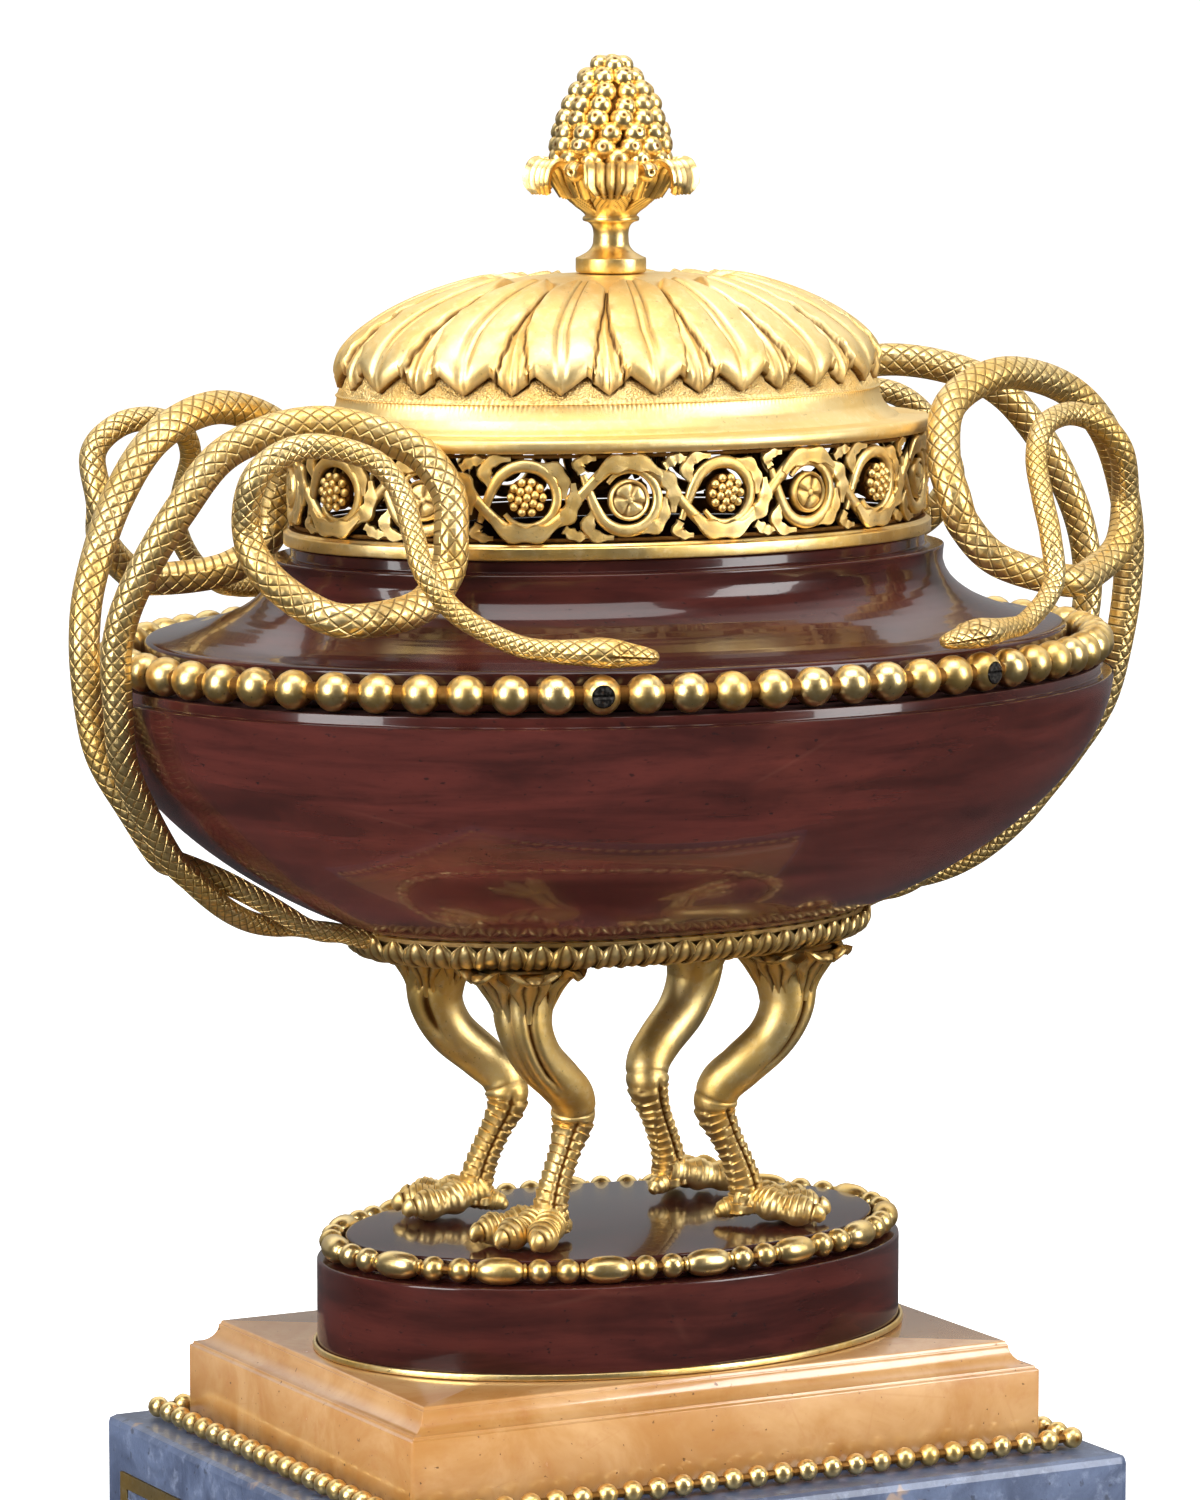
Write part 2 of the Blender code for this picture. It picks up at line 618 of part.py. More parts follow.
def level_ends(leg):
    """Press what reaches past the leg's height flat against the cup above and the plinth below."""
    for vertex in leg.data.vertices:
        vertex.co.z = min(max(vertex.co.z, LEG_BASE), LEG_TOP)


def foot_point(forward, aside, height):
    """A point of the foot, from the ankle forward along the foot and across it."""
    turn = math.radians(FOOT_TURN)
    out = forward * math.cos(turn) - aside * math.sin(turn)
    apart = forward * math.sin(turn) + aside * math.cos(turn)
    return (LEG_SPREAD + out, LEG_SET_APART + apart, LEG_BASE + height)


def toe_points(splay):
    """Points of a toe, from inside the ankle out to its claw."""
    reach = TOE_LENGTH * (1.0 - 0.12 * abs(splay))
    side = splay * TOE_SPLAY
    return np.array([
        foot_point(-0.002, 0.0, 1.25 * TOE_RADIUS),
        foot_point(0.40 * reach, 0.55 * side, 1.15 * TOE_RADIUS),
        foot_point(0.78 * reach, 0.92 * side, TOE_RADIUS),
        foot_point(reach, side, CLAW_RADIUS),
    ])


def spur_points():
    """Points of the spur behind the ankle."""
    return np.array([
        foot_point(0.002, 0.0, TOE_RADIUS),
        foot_point(-0.6 * SPUR_LENGTH, 0.0, 0.8 * TOE_RADIUS),
        foot_point(-SPUR_LENGTH, 0.0, CLAW_RADIUS),
    ])


def build_leg(parts, gilt, side_x, side_y):
    """One bird's leg: a bent tube, three toes forward and a spur behind."""
    place = np.array((side_x, side_y, 1.0))
    stations = np.array([
        (LEG_SPREAD + out, LEG_SET_APART + aside, LEG_BASE + share * LEG_HEIGHT)
        for share, out, aside, _ in LEG_STATIONS
    ])
    radii = [radius for _, _, _, radius in LEG_STATIONS]
    name = "leg_" + corner_name(side_x, side_y)
    shank = string_of(parts, name + "_shank", stations * place, radii, False, 1)
    toe_radii = (0.8 * TOE_RADIUS, TOE_RADIUS, 0.85 * TOE_RADIUS, CLAW_RADIUS)
    spur_radii = (0.7 * TOE_RADIUS, 0.6 * TOE_RADIUS, CLAW_RADIUS)
    limbs = [
        string_of(parts, name + "_toe_%d" % number, toe_points(number - 1.0) * place, toe_radii, False, 0)
        for number in range(3)
    ]
    limbs.append(string_of(parts, name + "_spur", spur_points() * place, spur_radii, False, 0))
    level_ends(shank)
    leg = combined(parts, name, shank, limbs, "UNION")
    level_ends(leg)
    finished(leg, gilt, math.radians(50))


def bowl_swell(share):
    """How far the bowl has widened from foot to rim at a share of its depth."""
    return (1.0 - (1.0 - share) ** BOWL_SWELL_LOW) ** (1.0 / BOWL_SWELL_HIGH)


def bowl_side(foot, rim, base, top):
    """Profile of a bowl's wall from rim down to foot, as half length and height."""
    shares = (1.0, 0.75, 0.50, 0.28, 0.11, 0.0)
    return [(foot + (rim - foot) * bowl_swell(share), base + (top - base) * share) for share in shares]


def bowl_underside(half_length):
    """Height of the bowl's outer surface at a half length."""
    share = np.linspace(0.0, 1.0, SAMPLES)
    widths = BOWL_FOOT_HALF_LENGTH + (BOWL_RIM_HALF_LENGTH - BOWL_FOOT_HALF_LENGTH) * bowl_swell(share)
    return BOWL_BASE + BOWL_DEPTH * float(np.interp(half_length, widths, share))


def build_bowl(parts, stone):
    """The hollow bowl, with a recessed ledge below the belt."""
    step = BOWL_RIM_HALF_LENGTH - LEDGE_WIDTH
    mouth = BOWL_RIM_HALF_LENGTH - BOWL_MOUTH_INSET
    floor = BOWL_BASE + BOWL_FLOOR
    inside = bowl_side(BOWL_FOOT_HALF_LENGTH - BOWL_FLOOR, mouth, floor, BOWL_TOP)[::-1]
    outside = bowl_side(BOWL_FOOT_HALF_LENGTH, BOWL_RIM_HALF_LENGTH, BOWL_BASE, BOWL_EDGE)
    walls = inside + [(step, BOWL_TOP), (step, BOWL_EDGE)] + outside
    profile = [(0.0, floor)] + [vessel_ring(*point) for point in walls] + [(0.0, BOWL_BASE)]
    finished(turned(parts, "bowl", profile, OVAL_STEPS, HALF_DIFFERENCE), stone, math.radians(30))


def build_cup(parts, gilt):
    """The leaf cup that the bowl sits in: a shallow dish whose rim is cut into leaf tips."""
    inner = [
        (length, bowl_underside(length) - GAP)
        for length in (BOWL_FOOT_HALF_LENGTH, CUP_HALF_LENGTH)
    ]
    tip_slope = bowl_underside(CUP_HALF_LENGTH) - bowl_underside(CUP_HALF_LENGTH - CUP_LEAF_NOTCH)
    rings = inner + [
        (CUP_HALF_LENGTH, inner[-1][1] - CUP_THICKNESS / 2.0),
        (CUP_LOBE_HALF_LENGTH, CUP_BASE + CUP_LOBE_RISE),
        (BOWL_FOOT_HALF_LENGTH, CUP_BASE),
    ]
    profile = [(0.0, BOWL_BASE - GAP)] + [vessel_ring(*ring) for ring in rings] + [(0.0, CUP_BASE)]
    notch = (CUP_LEAF_NOTCH / 2.0, tip_slope / 2.0)
    lobe = (CUP_LEAF_NOTCH / 2.0, 0.0)
    still = (0.0, 0.0)
    lift = [still, still, notch, notch, lobe, still, still]
    turned_cup = turned(parts, "leaf_cup", profile, 2 * CUP_LEAVES, HALF_DIFFERENCE, CUP_LEAVES, lift)
    finished(turned_cup, gilt, math.radians(30))


def belt_oval():
    """Half length and half depth of the line of beads between bowl and shoulder."""
    half_length = BOWL_RIM_HALF_LENGTH - BELT_INSET
    return half_length, half_length - 2 * HALF_DIFFERENCE


def screw_places():
    """Middle, outward direction and name of each bead that holds a screw."""
    shares = np.array((SCREW_BEAD, -SCREW_BEAD, BELT_BEADS // 2 - SCREW_BEAD, BELT_BEADS // 2 + SCREW_BEAD))
    points, outward = oval_points(*belt_oval(), shares / BELT_BEADS)
    names = [corner_name(*np.sign(point)) for point in points]
    return list(zip(points, outward, names))


def cylinder_along(collection, name, radius, depth, sides, middle, outward):
    """A cylinder lying along a level direction, with its middle at the given point."""
    mesh = bpy.data.meshes.new(name)
    working = bmesh.new()
    bmesh.ops.create_cone(working, cap_ends=True, segments=sides, radius1=radius, radius2=radius, depth=depth)
    working.to_mesh(mesh)
    working.free()
    thing = place_in(collection, name, mesh)
    thing.rotation_euler = (math.pi / 2.0, 0.0, math.atan2(outward[1], outward[0]) + math.pi / 2.0)
    thing.location = middle
    bpy.context.view_layer.update()
    return thing


def build_belt(parts, cutters, gilt, iron):
    """The belt of beads with four counterbored beads, and the slotted screws in them."""
    points, _ = oval_points(*belt_oval(), np.arange(2 * BELT_BEADS) / (2 * BELT_BEADS))
    path = [(x, y, BELT_HEIGHT) for x, y in points]
    radii = [BELT_BEAD_RADIUS, BELT_BEAD_NECK] * BELT_BEADS
    belt = string_of(parts, "belt_string", path, radii, True, 0)
    face = BELT_BEAD_RADIUS * BELT_FACE_SHARE
    seat_radius = SCREW_HEAD_RADIUS + GAP
    seat_depth = 2 * (SCREW_HEAD_HEIGHT + GAP)
    seats = []
    for point, outward, name in screw_places():
        seat_middle = (*(point + outward * face), BELT_HEIGHT)
        seats.append(cylinder_along(parts, "seat_" + name, seat_radius, seat_depth, 12, seat_middle, outward))
        head_middle = (*(point + outward * (face - SCREW_HEAD_HEIGHT / 2.0)), BELT_HEIGHT)
        head = cylinder_along(
            parts, "screw_head_" + name, SCREW_HEAD_RADIUS, SCREW_HEAD_HEIGHT, 12, head_middle, outward
        )
        slot_middle = (*(point + outward * face), BELT_HEIGHT)
        slot = cylinder_along(
            cutters, "slot_" + name, SCREW_SLOT_DEPTH, 3 * SCREW_HEAD_RADIUS, 4, slot_middle, outward
        )
        slot.rotation_euler = (0.0, math.pi / 2.0, math.atan2(outward[1], outward[0]) + math.pi / 2.0)
        slot.scale = (1.0, SCREW_SLOT_WIDTH / (2.0 * SCREW_SLOT_DEPTH), 1.0)
        finished(combined(parts, "belt_screw_" + name, head, [slot], "DIFFERENCE"), iron)
    finished(combined(parts, "belt_bead_ring", belt, seats, "DIFFERENCE"), gilt, math.radians(60))


def build_shoulder(parts, stone):
    """The concave shoulder, open through the middle, with a narrower seat on top."""
    rim = BOWL_RIM_HALF_LENGTH - SHOULDER_RIM_INSET
    rim_top = SHOULDER_BASE + SHOULDER_RIM_HEIGHT
    shares = (0.0, 0.12, 0.30, 0.52, 0.78, 1.0)
    falls = [(1.0 - share ** (1.0 / SHOULDER_SWEEP)) ** (SHOULDER_SWEEP / 2.0) for share in shares]
    inward = rim - SHOULDER_TOP_HALF_LENGTH
    sweep = [
        (SHOULDER_TOP_HALF_LENGTH + inward * share, rim_top + (SHOULDER_TOP - rim_top) * fall)
        for share, fall in zip(shares, falls)
    ]
    half_way = (rim_top + SHOULDER_TOP) / 2.0
    seat = SHOULDER_TOP_HALF_LENGTH - SEAT_INSET
    wall = [
        (seat - SHOULDER_WALL, SEAT_TOP),
        (seat, SEAT_TOP),
        (seat, SHOULDER_TOP),
        *sweep,
        (rim, SHOULDER_BASE),
        (rim - 2 * SHOULDER_WALL, SHOULDER_BASE),
        (rim - 2.6 * SHOULDER_WALL, rim_top - SHOULDER_WALL / 2.0),
        (SHOULDER_TOP_HALF_LENGTH - 0.4 * SHOULDER_WALL, half_way - SHOULDER_WALL / 2.0),
        (seat - SHOULDER_WALL, SHOULDER_TOP - SHOULDER_WALL / 2.0),
        (seat - SHOULDER_WALL, SEAT_TOP),
    ]
    profile = [vessel_ring(*point) for point in wall]
    finished(turned(parts, "shoulder", profile, OVAL_STEPS, HALF_DIFFERENCE), stone, math.radians(30))


def build_gallery_base(parts, gilt):
    """The plain ring under the pierced gallery."""
    outside = GALLERY_HALF_LENGTH
    inside = outside - GALLERY_BASE_WIDTH
    top = GALLERY_BASE + GALLERY_BASE_HEIGHT
    ring = (
        (inside, GALLERY_BASE),
        (inside, top),
        (outside, top),
        (outside, GALLERY_BASE),
        (inside, GALLERY_BASE),
    )
    profile = [vessel_ring(*point) for point in ring]
    finished(turned(parts, "gallery_base_ring", profile, OVAL_STEPS, HALF_DIFFERENCE), gilt, math.radians(30))


def on_gallery(along, up, out=0.0):
    """Points of the gallery band, from the way along it, the height above its middle and outward."""
    half_length = GALLERY_HALF_LENGTH - SCROLL_INSET
    half_depth = half_length - 2 * HALF_DIFFERENCE
    shares = np.asarray(along) / oval_length(half_length, half_depth)
    points, outward = oval_points(half_length, half_depth, shares)
    height = SCROLL_BASE + GALLERY_HEIGHT / 2.0 + np.asarray(up)
    return np.column_stack((points + outward * out, height))


def build_gallery(parts, gilt):
    """The pierced gallery: scrolls that rise and fall by turns, each round a rosette, between two rails."""
    half_length = GALLERY_HALF_LENGTH - SCROLL_INSET
    length = oval_length(half_length, half_length - 2 * HALF_DIFFERENCE)
    pitch = length / GALLERY_SCROLLS
    reach = GALLERY_HEIGHT / 2.0 - GALLERY_RAIL_RADIUS
    around = length * np.arange(RAIL_STEPS) / RAIL_STEPS
    rails = []
    for side in (-1.0, 1.0):
        path = on_gallery(around, np.full(RAIL_STEPS, side * reach))
        rails.append(string_of(parts, "rail", path, [GALLERY_RAIL_RADIUS] * RAIL_STEPS, True, 0))
    scrolls = []
    rosettes = []
    angles = np.radians(np.linspace(SCROLL_ENTERS, SCROLL_ENTERS - SCROLL_TURN, SCROLL_POINTS))
    curl = SCROLL_RADIUS - (SCROLL_RADIUS - 0.8 * ROSETTE_RADIUS) * np.linspace(0.0, 1.0, SCROLL_POINTS) ** 4
    for number in range(GALLERY_SCROLLS):
        rise = 1.0 if number % 2 == 0 else -1.0
        middle = pitch * (number + 0.5)
        along = np.concatenate(([middle - 0.66 * pitch], middle + curl * np.cos(angles)))
        up = np.concatenate(([-reach], SCROLL_SHIFT + curl * np.sin(angles))) * rise
        radii = [SCROLL_STEM_RADIUS] * len(along)
        scrolls.append(string_of(parts, "scroll_%d" % number, on_gallery(along, up), radii, False, 0))
        centre = on_gallery([middle], [SCROLL_SHIFT * rise])[0]
        _, outward = oval_points(half_length, half_length - 2 * HALF_DIFFERENCE, [middle / length])
        name = "rosette_%d" % number
        rosettes.append(cylinder_along(parts, name, ROSETTE_RADIUS, ROSETTE_THICKNESS, 5, centre, outward[0]))
    pieces = [rails[1]] + scrolls + rosettes
    finished(combined(parts, "scroll_gallery", rails[0], pieces, "UNION"), gilt, math.radians(40))


def build_lid(parts, gilt):
    """The hollow lid: flange, smooth band and a dome covered with overlapping leaves."""
    band = GALLERY_HALF_LENGTH - LID_BAND_INSET
    tips = band - LID_BAND_TAPER + LID_LEAF_LIFT
    flange_top = LID_BASE + LID_FLANGE_HEIGHT
    shares = (1.0, 0.78, 0.45, 0.0)
    widths = [(1.0 - share**LID_DOME_SWELL) ** LID_DOME_FALL for share in shares]
    dome = [
        (LID_TOP_HALF_LENGTH + (tips - LID_TOP_HALF_LENGTH) * width, LID_TIPS + LID_DOME_HEIGHT * share)
        for width, share in zip(widths, shares)
    ]
    inner = [
        (LID_TOP_HALF_LENGTH, LID_TOP - LID_WALL),
        (dome[1][0] - LID_WALL, dome[1][1] - 1.5 * LID_WALL),
        (band - LID_BAND_TAPER - 2 * LID_WALL, LID_BAND_TOP),
        (band - LID_WALL, LID_BASE),
    ]
    outer = dome + [
        (tips - LID_LEAF_LIFT, LID_TIPS - LID_LEAF_UNDERCUT),
        (band - LID_BAND_TAPER, LID_BAND_TOP),
        (band, flange_top),
        (GALLERY_HALF_LENGTH, flange_top),
        (GALLERY_HALF_LENGTH, LID_BASE),
    ]
    # The profile closes under the flange, and both skins meet the axis.
    walls = [vessel_ring(*point) for point in outer]
    under = [vessel_ring(*point) for point in inner[::-1]]
    profile = [(0.0, LID_TOP)] + walls + under + [(0.0, LID_TOP - LID_WALL)]
    still = (0.0, 0.0)
    leaf = (LID_LEAF_LIFT / 2.0, -LID_LEAF_NOTCH / 2.0)
    rib = (LID_LEAF_LIFT / 2.0, LID_LEAF_LIFT / 4.0)
    lift = [still, still, rib, rib, leaf, (0.0, leaf[1]), still, still, still, still]
    lift += [still] * (len(profile) - len(lift))
    lid = turned(parts, "lid", profile, 2 * LID_LEAVES, HALF_DIFFERENCE, LID_LEAVES, lift)
    finished(lid, gilt, math.radians(25))


def build_finial(parts, gilt):
    """The finial: base, stem and ring, a leaf calyx and a cone of berries, turned in one."""
    base_top = FINIAL_BASE + FINIAL_BASE_HEIGHT
    stem_top = base_top + FINIAL_STEM_HEIGHT
    ring_top = stem_top + FINIAL_RING_HEIGHT
    calyx_top = ring_top + CALYX_HEIGHT
    still = (0.0, 0.0)
    rows = [(0.0, calyx_top + BERRY_CONE_HEIGHT, still)]
    for row in range(BERRY_ROWS, -1, -1):
        share = row / (BERRY_ROWS + 1)
        radius = BERRY_CONE_RADIUS * (1.0 - share**BERRY_CONE_SWELL) ** BERRY_CONE_FALL
        bump = BERRY_RADIUS * (1.0 if row % 2 == 0 else -1.0)
        rows.append((radius, calyx_top + BERRY_CONE_HEIGHT * share, (bump, 0.0)))
    curl = (CALYX_CURL / 2.0, -CALYX_CURL / 2.0)
    rows += [
        (CALYX_RADIUS - 0.7 * CALYX_CURL, calyx_top + 0.5 * CALYX_CURL, curl),
        (CALYX_RADIUS, calyx_top - CALYX_CURL, curl),
        (CALYX_RIM_RADIUS, calyx_top - 1.6 * CALYX_CURL, still),
        (CALYX_NECK_RADIUS, ring_top + 0.3 * CALYX_HEIGHT, still),
        (FINIAL_RING_RADIUS, ring_top, still),
        (FINIAL_RING_RADIUS, stem_top + 0.6 * FINIAL_RING_HEIGHT, still),
        (FINIAL_STEM_RADIUS, stem_top, still),
        (FINIAL_STEM_RADIUS, base_top + 0.3 * FINIAL_STEM_HEIGHT, still),
        (FINIAL_BASE_RADIUS, base_top, still),
        (FINIAL_BASE_RADIUS, FINIAL_BASE, still),
        (0.0, FINIAL_BASE, still),
    ]
    profile = [(radius, height) for radius, height, _ in rows]
    lift = [move for _, _, move in rows]
    finial = turned(parts, "finial", profile, 2 * CALYX_LEAVES, 0.0, CALYX_LEAVES, lift)
    finished(finial, gilt, math.radians(30))


def serpent_stations(side_x, side_y):
    """The body's points: the serpents of the right pair run further out than those of the left."""
    right = 1.0 if side_x > 0 else 0.0
    return [
        (
            BOWL_RIM_HALF_LENGTH + out + right * further_out,
            side_y * aside,
            BELT_HEIGHT + up + right * further_up,
            radius,
        )
        for out, aside, up, radius, further_out, further_up in SERPENT_ROUTE
    ]


def tail_stations(body, side_y):
    """The twisted tails: two strands making half a turn round each other under the bowl."""
    stop, aside, last, radius = body[0]
    start = CUP_HALF_LENGTH + CUP_LEAF_NOTCH / 2.0 + 2 * TAIL_RADIUS
    share = np.linspace(0.0, 1.0, TAIL_STATIONS, endpoint=False)
    thickness = TAIL_RADIUS + (radius - TAIL_RADIUS) * share
    length = start + (stop - start) * share
    first = bowl_underside(start) - TAIL_SAG - TAIL_RADIUS
    height = first + (last - first) * share**TAIL_RISE - TAIL_SAG * np.sin(np.pi * share)
    angle = np.pi * (1.0 - np.clip((share - TAIL_STRAIGHT) / (1.0 - TAIL_STRAIGHT), 0.0, 1.0))
    reach = TAIL_APART * thickness + (abs(aside) - TAIL_APART * radius) * share
    across = side_y * np.cos(angle) * reach
    lift = side_y * np.sin(angle) * reach
    return np.column_stack((length, across, height + lift, thickness))


def build_serpent(parts, gilt, side_x, side_y):
    """One serpent: tail under the bowl, up its end, over in a loop and down to the belt."""
    body = serpent_stations(side_x, side_y)
    stations = np.vstack((tail_stations(body, side_y), body))
    route = smooth_route(stations, SERPENT_SPACING)
    points = route[:, :3] * (side_x, 1.0, 1.0)
    serpent = string_of(parts, "serpent_" + corner_name(side_x, side_y), points, route[:, 3], False, 1)
    finished(serpent, gilt, math.radians(70))


def main():
    """Build the vase from the ground up."""
    clear_scene()
    parts = new_collection("potpourri_vase")
    cutters = new_collection("cutters")
    gilt = finish(*GILT)
    red = finish(*RED_MARBLE)
    yellow = finish(*YELLOW_MARBLE)
    blue = finish(*BLUE_MARBLE)
    iron = finish(*IRON)
    build_block(parts, cutters, blue, gilt)
    build_block_beads(parts, gilt)
    build_slab(parts, yellow)
    build_plinth(parts, red, gilt)
    build_plinth_string(parts, gilt)
    corners = ((-1, -1), (1, -1), (-1, 1), (1, 1))
    for side_x, side_y in corners:
        build_leg(parts, gilt, side_x, side_y)
    build_cup(parts, gilt)
    build_bowl(parts, red)
    build_belt(parts, cutters, gilt, iron)
    build_shoulder(parts, red)
    build_gallery_base(parts, gilt)
    build_gallery(parts, gilt)
    build_lid(parts, gilt)
    build_finial(parts, gilt)
    for side_x, side_y in corners:
        build_serpent(parts, gilt, side_x, side_y)


main()
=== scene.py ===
"""Looks of the potpourri vase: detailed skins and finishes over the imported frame.

Metres, +Z up, the frame's own coordinates.  Every skin is one or more grids of points worked out with
numpy: a turned profile drawn out to an oval, a profile carried along a path, or a relief on either.
"""

import math

import bpy
import numpy as np
from bpy.props import FloatProperty, FloatVectorProperty, IntProperty, PointerProperty
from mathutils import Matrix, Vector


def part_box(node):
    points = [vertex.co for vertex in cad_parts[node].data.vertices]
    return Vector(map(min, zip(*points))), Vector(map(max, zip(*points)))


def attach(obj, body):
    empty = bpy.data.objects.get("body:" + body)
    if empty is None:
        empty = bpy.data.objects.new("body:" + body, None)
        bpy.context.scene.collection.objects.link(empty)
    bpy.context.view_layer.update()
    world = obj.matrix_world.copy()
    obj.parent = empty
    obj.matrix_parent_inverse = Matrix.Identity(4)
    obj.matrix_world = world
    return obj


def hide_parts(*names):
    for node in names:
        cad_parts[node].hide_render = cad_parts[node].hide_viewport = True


bl_info = {
    "name": "Potpourri Vase Looks",
    "version": (1, 0, 0),
    "blender": (4, 5, 0),
    "location": "View3D > Sidebar > Vase",
    "description": "Builds the visible pieces of an oval marble vase with gilt mounts",
    "category": "Object",
}

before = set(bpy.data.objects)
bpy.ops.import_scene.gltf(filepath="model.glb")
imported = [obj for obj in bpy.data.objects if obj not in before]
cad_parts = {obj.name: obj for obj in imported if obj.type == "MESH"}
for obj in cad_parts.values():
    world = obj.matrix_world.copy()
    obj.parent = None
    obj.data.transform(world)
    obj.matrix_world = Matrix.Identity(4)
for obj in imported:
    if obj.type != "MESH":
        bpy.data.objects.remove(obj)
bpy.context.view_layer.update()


def low(node):
    """Lowest height of a node of the frame."""
    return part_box(node)[0].z


def high(node):
    """Greatest height of a node of the frame."""
    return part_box(node)[1].z


def half(node):
    """Half length of a node of the frame, along X."""
    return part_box(node)[1].x


# Places that the frame gives
BOWL_BASE = low("bowl")
BOWL_TOP = high("bowl")
BOWL_RIM = half("bowl")
SHOULDER_BASE = low("shoulder")
SEAT_TOP = high("shoulder")
SHOULDER_RIM = half("shoulder")
GALLERY_BASE = low("gallery_base_ring")
GALLERY_SIDE = half("gallery_base_ring")
SCROLL_BASE = low("scroll_gallery")
SCROLL_TOP = high("scroll_gallery")
LID_BASE = low("lid")
LID_TOP = high("lid")
FINIAL_BASE = low("finial")
FINIAL_TOP = high("finial")
CUP_BASE = low("leaf_cup")
PLINTH_BASE = low("oval_plinth")
TABLE_TOP = high("oval_plinth")
PLINTH_SIDE = half("oval_plinth")
SLAB_BASE = low("siena_slab")
SLAB_TOP = high("siena_slab")
LEG_BASE = low("leg_front_left")
LEG_TOP = high("leg_front_left")
BELT_HEIGHT = (low("belt_bead_ring") + high("belt_bead_ring")) / 2.0

# How much shorter the half depth of each oval is than its half length
VESSEL_DIFFERENCE = 0.0300
PLINTH_DIFFERENCE = 0.0269

# Serpents: outward of the bowl's rim, away from the middle plane, above the belt and radius, and how
# much further outward and upward the right pair runs
SERPENT_ROUTE = (
    (-0.0120, 0.0043, -0.0539, 0.0038, 0.0000, 0.0000),
    (-0.0032, 0.0052, -0.0399, 0.0041, 0.0035, 0.0000),
    (0.0046, 0.0080, -0.0250, 0.0043, 0.0050, 0.0000),
    (0.0073, 0.0103, -0.0097, 0.0044, 0.0062, 0.0006),
    (0.0080, 0.0114, 0.0089, 0.0046, 0.0084, 0.0032),
    (0.0040, 0.0152, 0.0259, 0.0047, 0.0096, 0.0076),
    (-0.0070, 0.0214, 0.0475, 0.0049, 0.0092, 0.0102),
    (-0.0213, 0.0250, 0.0645, 0.0050, 0.0064, 0.0080),
    (-0.0440, 0.0340, 0.0716, 0.0051, 0.0018, 0.0068),
    (-0.0672, 0.0440, 0.0650, 0.0051, 0.0015, 0.0060),
    (-0.0749, 0.0525, 0.0533, 0.0051, 0.0017, 0.0028),
    (-0.0735, 0.0580, 0.0408, 0.0051, 0.0006, 0.0041),
    (-0.0716, 0.0589, 0.0303, 0.0051, 0.0018, 0.0060),
    (-0.0598, 0.0636, 0.0213, 0.0051, -0.0010, 0.0048),
    (-0.0378, 0.0674, 0.0192, 0.0050, -0.0016, 0.0005),
    (-0.0278, 0.0611, 0.0228, 0.0048, 0.0012, -0.0013),
    (-0.0172, 0.0550, 0.0327, 0.0046, 0.0028, -0.0046),
    (-0.0143, 0.0500, 0.0440, 0.0043, 0.0050, -0.0034),
    (-0.0141, 0.0545, 0.0576, 0.0040, 0.0006, -0.0024),
    (-0.0220, 0.0560, 0.0652, 0.0038, 0.0000, -0.0010),
    (-0.0333, 0.0576, 0.0672, 0.0036, -0.0001, 0.0005),
    (-0.0462, 0.0641, 0.0633, 0.0034, -0.0002, 0.0015),
    (-0.0520, 0.0694, 0.0551, 0.0033, -0.0001, 0.0011),
    (-0.0524, 0.0763, 0.0440, 0.0033, -0.0018, 0.0016),
    (-0.0532, 0.0824, 0.0331, 0.0033, -0.0018, 0.0014),
    (-0.0606, 0.0876, 0.0220, 0.0032, 0.0034, -0.0009),
    (-0.0728, 0.0960, 0.0141, 0.0031, 0.0017, -0.0020),
    (-0.0820, 0.1020, 0.0120, 0.0033, 0.0002, -0.0010),
    (-0.0935, 0.1078, 0.0116, 0.0046, -0.0002, -0.0007),
    (-0.1020, 0.1106, 0.0108, 0.0041, 0.0007, -0.0006),
    (-0.1100, 0.1120, 0.0098, 0.0024, 0.0013, -0.0005),
)
TAIL_START = 0.0895             # half length at which the tails leave the cup
TAIL_BASE = 0.2119              # height there
TAIL_RADIUS = 0.0027
TAIL_STRAIGHT = 0.19            # share of the tail that lies straight
TAIL_APART = 1.36               # half the distance between two tails, in radii
TAIL_RISE = 1.40                # power of the curve by which the tails rise
TAIL_SAG = 0.0008
SCALES_ROUND = 7.0              # diamond scales round a serpent
LOOP_MIDDLE = (0.118, 0.050, 0.335)

# Serpent's head: way from the snout, half width and half height
SERPENT_HEAD = (
    (0.0000, 0.0012, 0.0010),
    (0.0008, 0.0025, 0.0018),
    (0.0035, 0.0033, 0.0026),
    (0.0080, 0.0040, 0.0033),
    (0.0120, 0.0049, 0.0040),
    (0.0165, 0.0056, 0.0042),
    (0.0215, 0.0051, 0.0037),
    (0.0270, 0.0036, 0.0032),
    (0.0330, 0.0033, 0.0032),
)

# Leg: share of the height, outward and aside of the ankle, and radius
LEG_SPREAD = 0.0340
LEG_SET_APART = 0.0240
FOOT_TURN = 24.0                # degrees that a foot turns toward its corner
LEG_STATIONS = (
    (0.040, -0.0010, -0.0003, 0.0058),
    (0.130, -0.0016, -0.0003, 0.0050),
    (0.228, -0.0041, -0.0011, 0.0045),
    (0.321, -0.0074, -0.0022, 0.0047),
    (0.417, -0.0104, -0.0032, 0.0060),
    (0.505, -0.0093, -0.0015, 0.0066),
    (0.577, -0.0036, 0.0014, 0.0068),
    (0.673, 0.0048, 0.0038, 0.0073),
    (0.781, 0.0093, 0.0046, 0.0081),
    (0.894, 0.0098, 0.0037, 0.0095),
    (0.960, 0.0100, 0.0035, 0.0114),
    (1.060, 0.0102, 0.0035, 0.0150),
)

# Bowl: half lengths of its foot outside and of its floor inside, the floor's thickness and the wall's
BOWL_FOOT = 0.0550
BOWL_INNER_FOOT = 0.0470
BOWL_FLOOR = 0.0080
BOWL_WALL = 0.0160

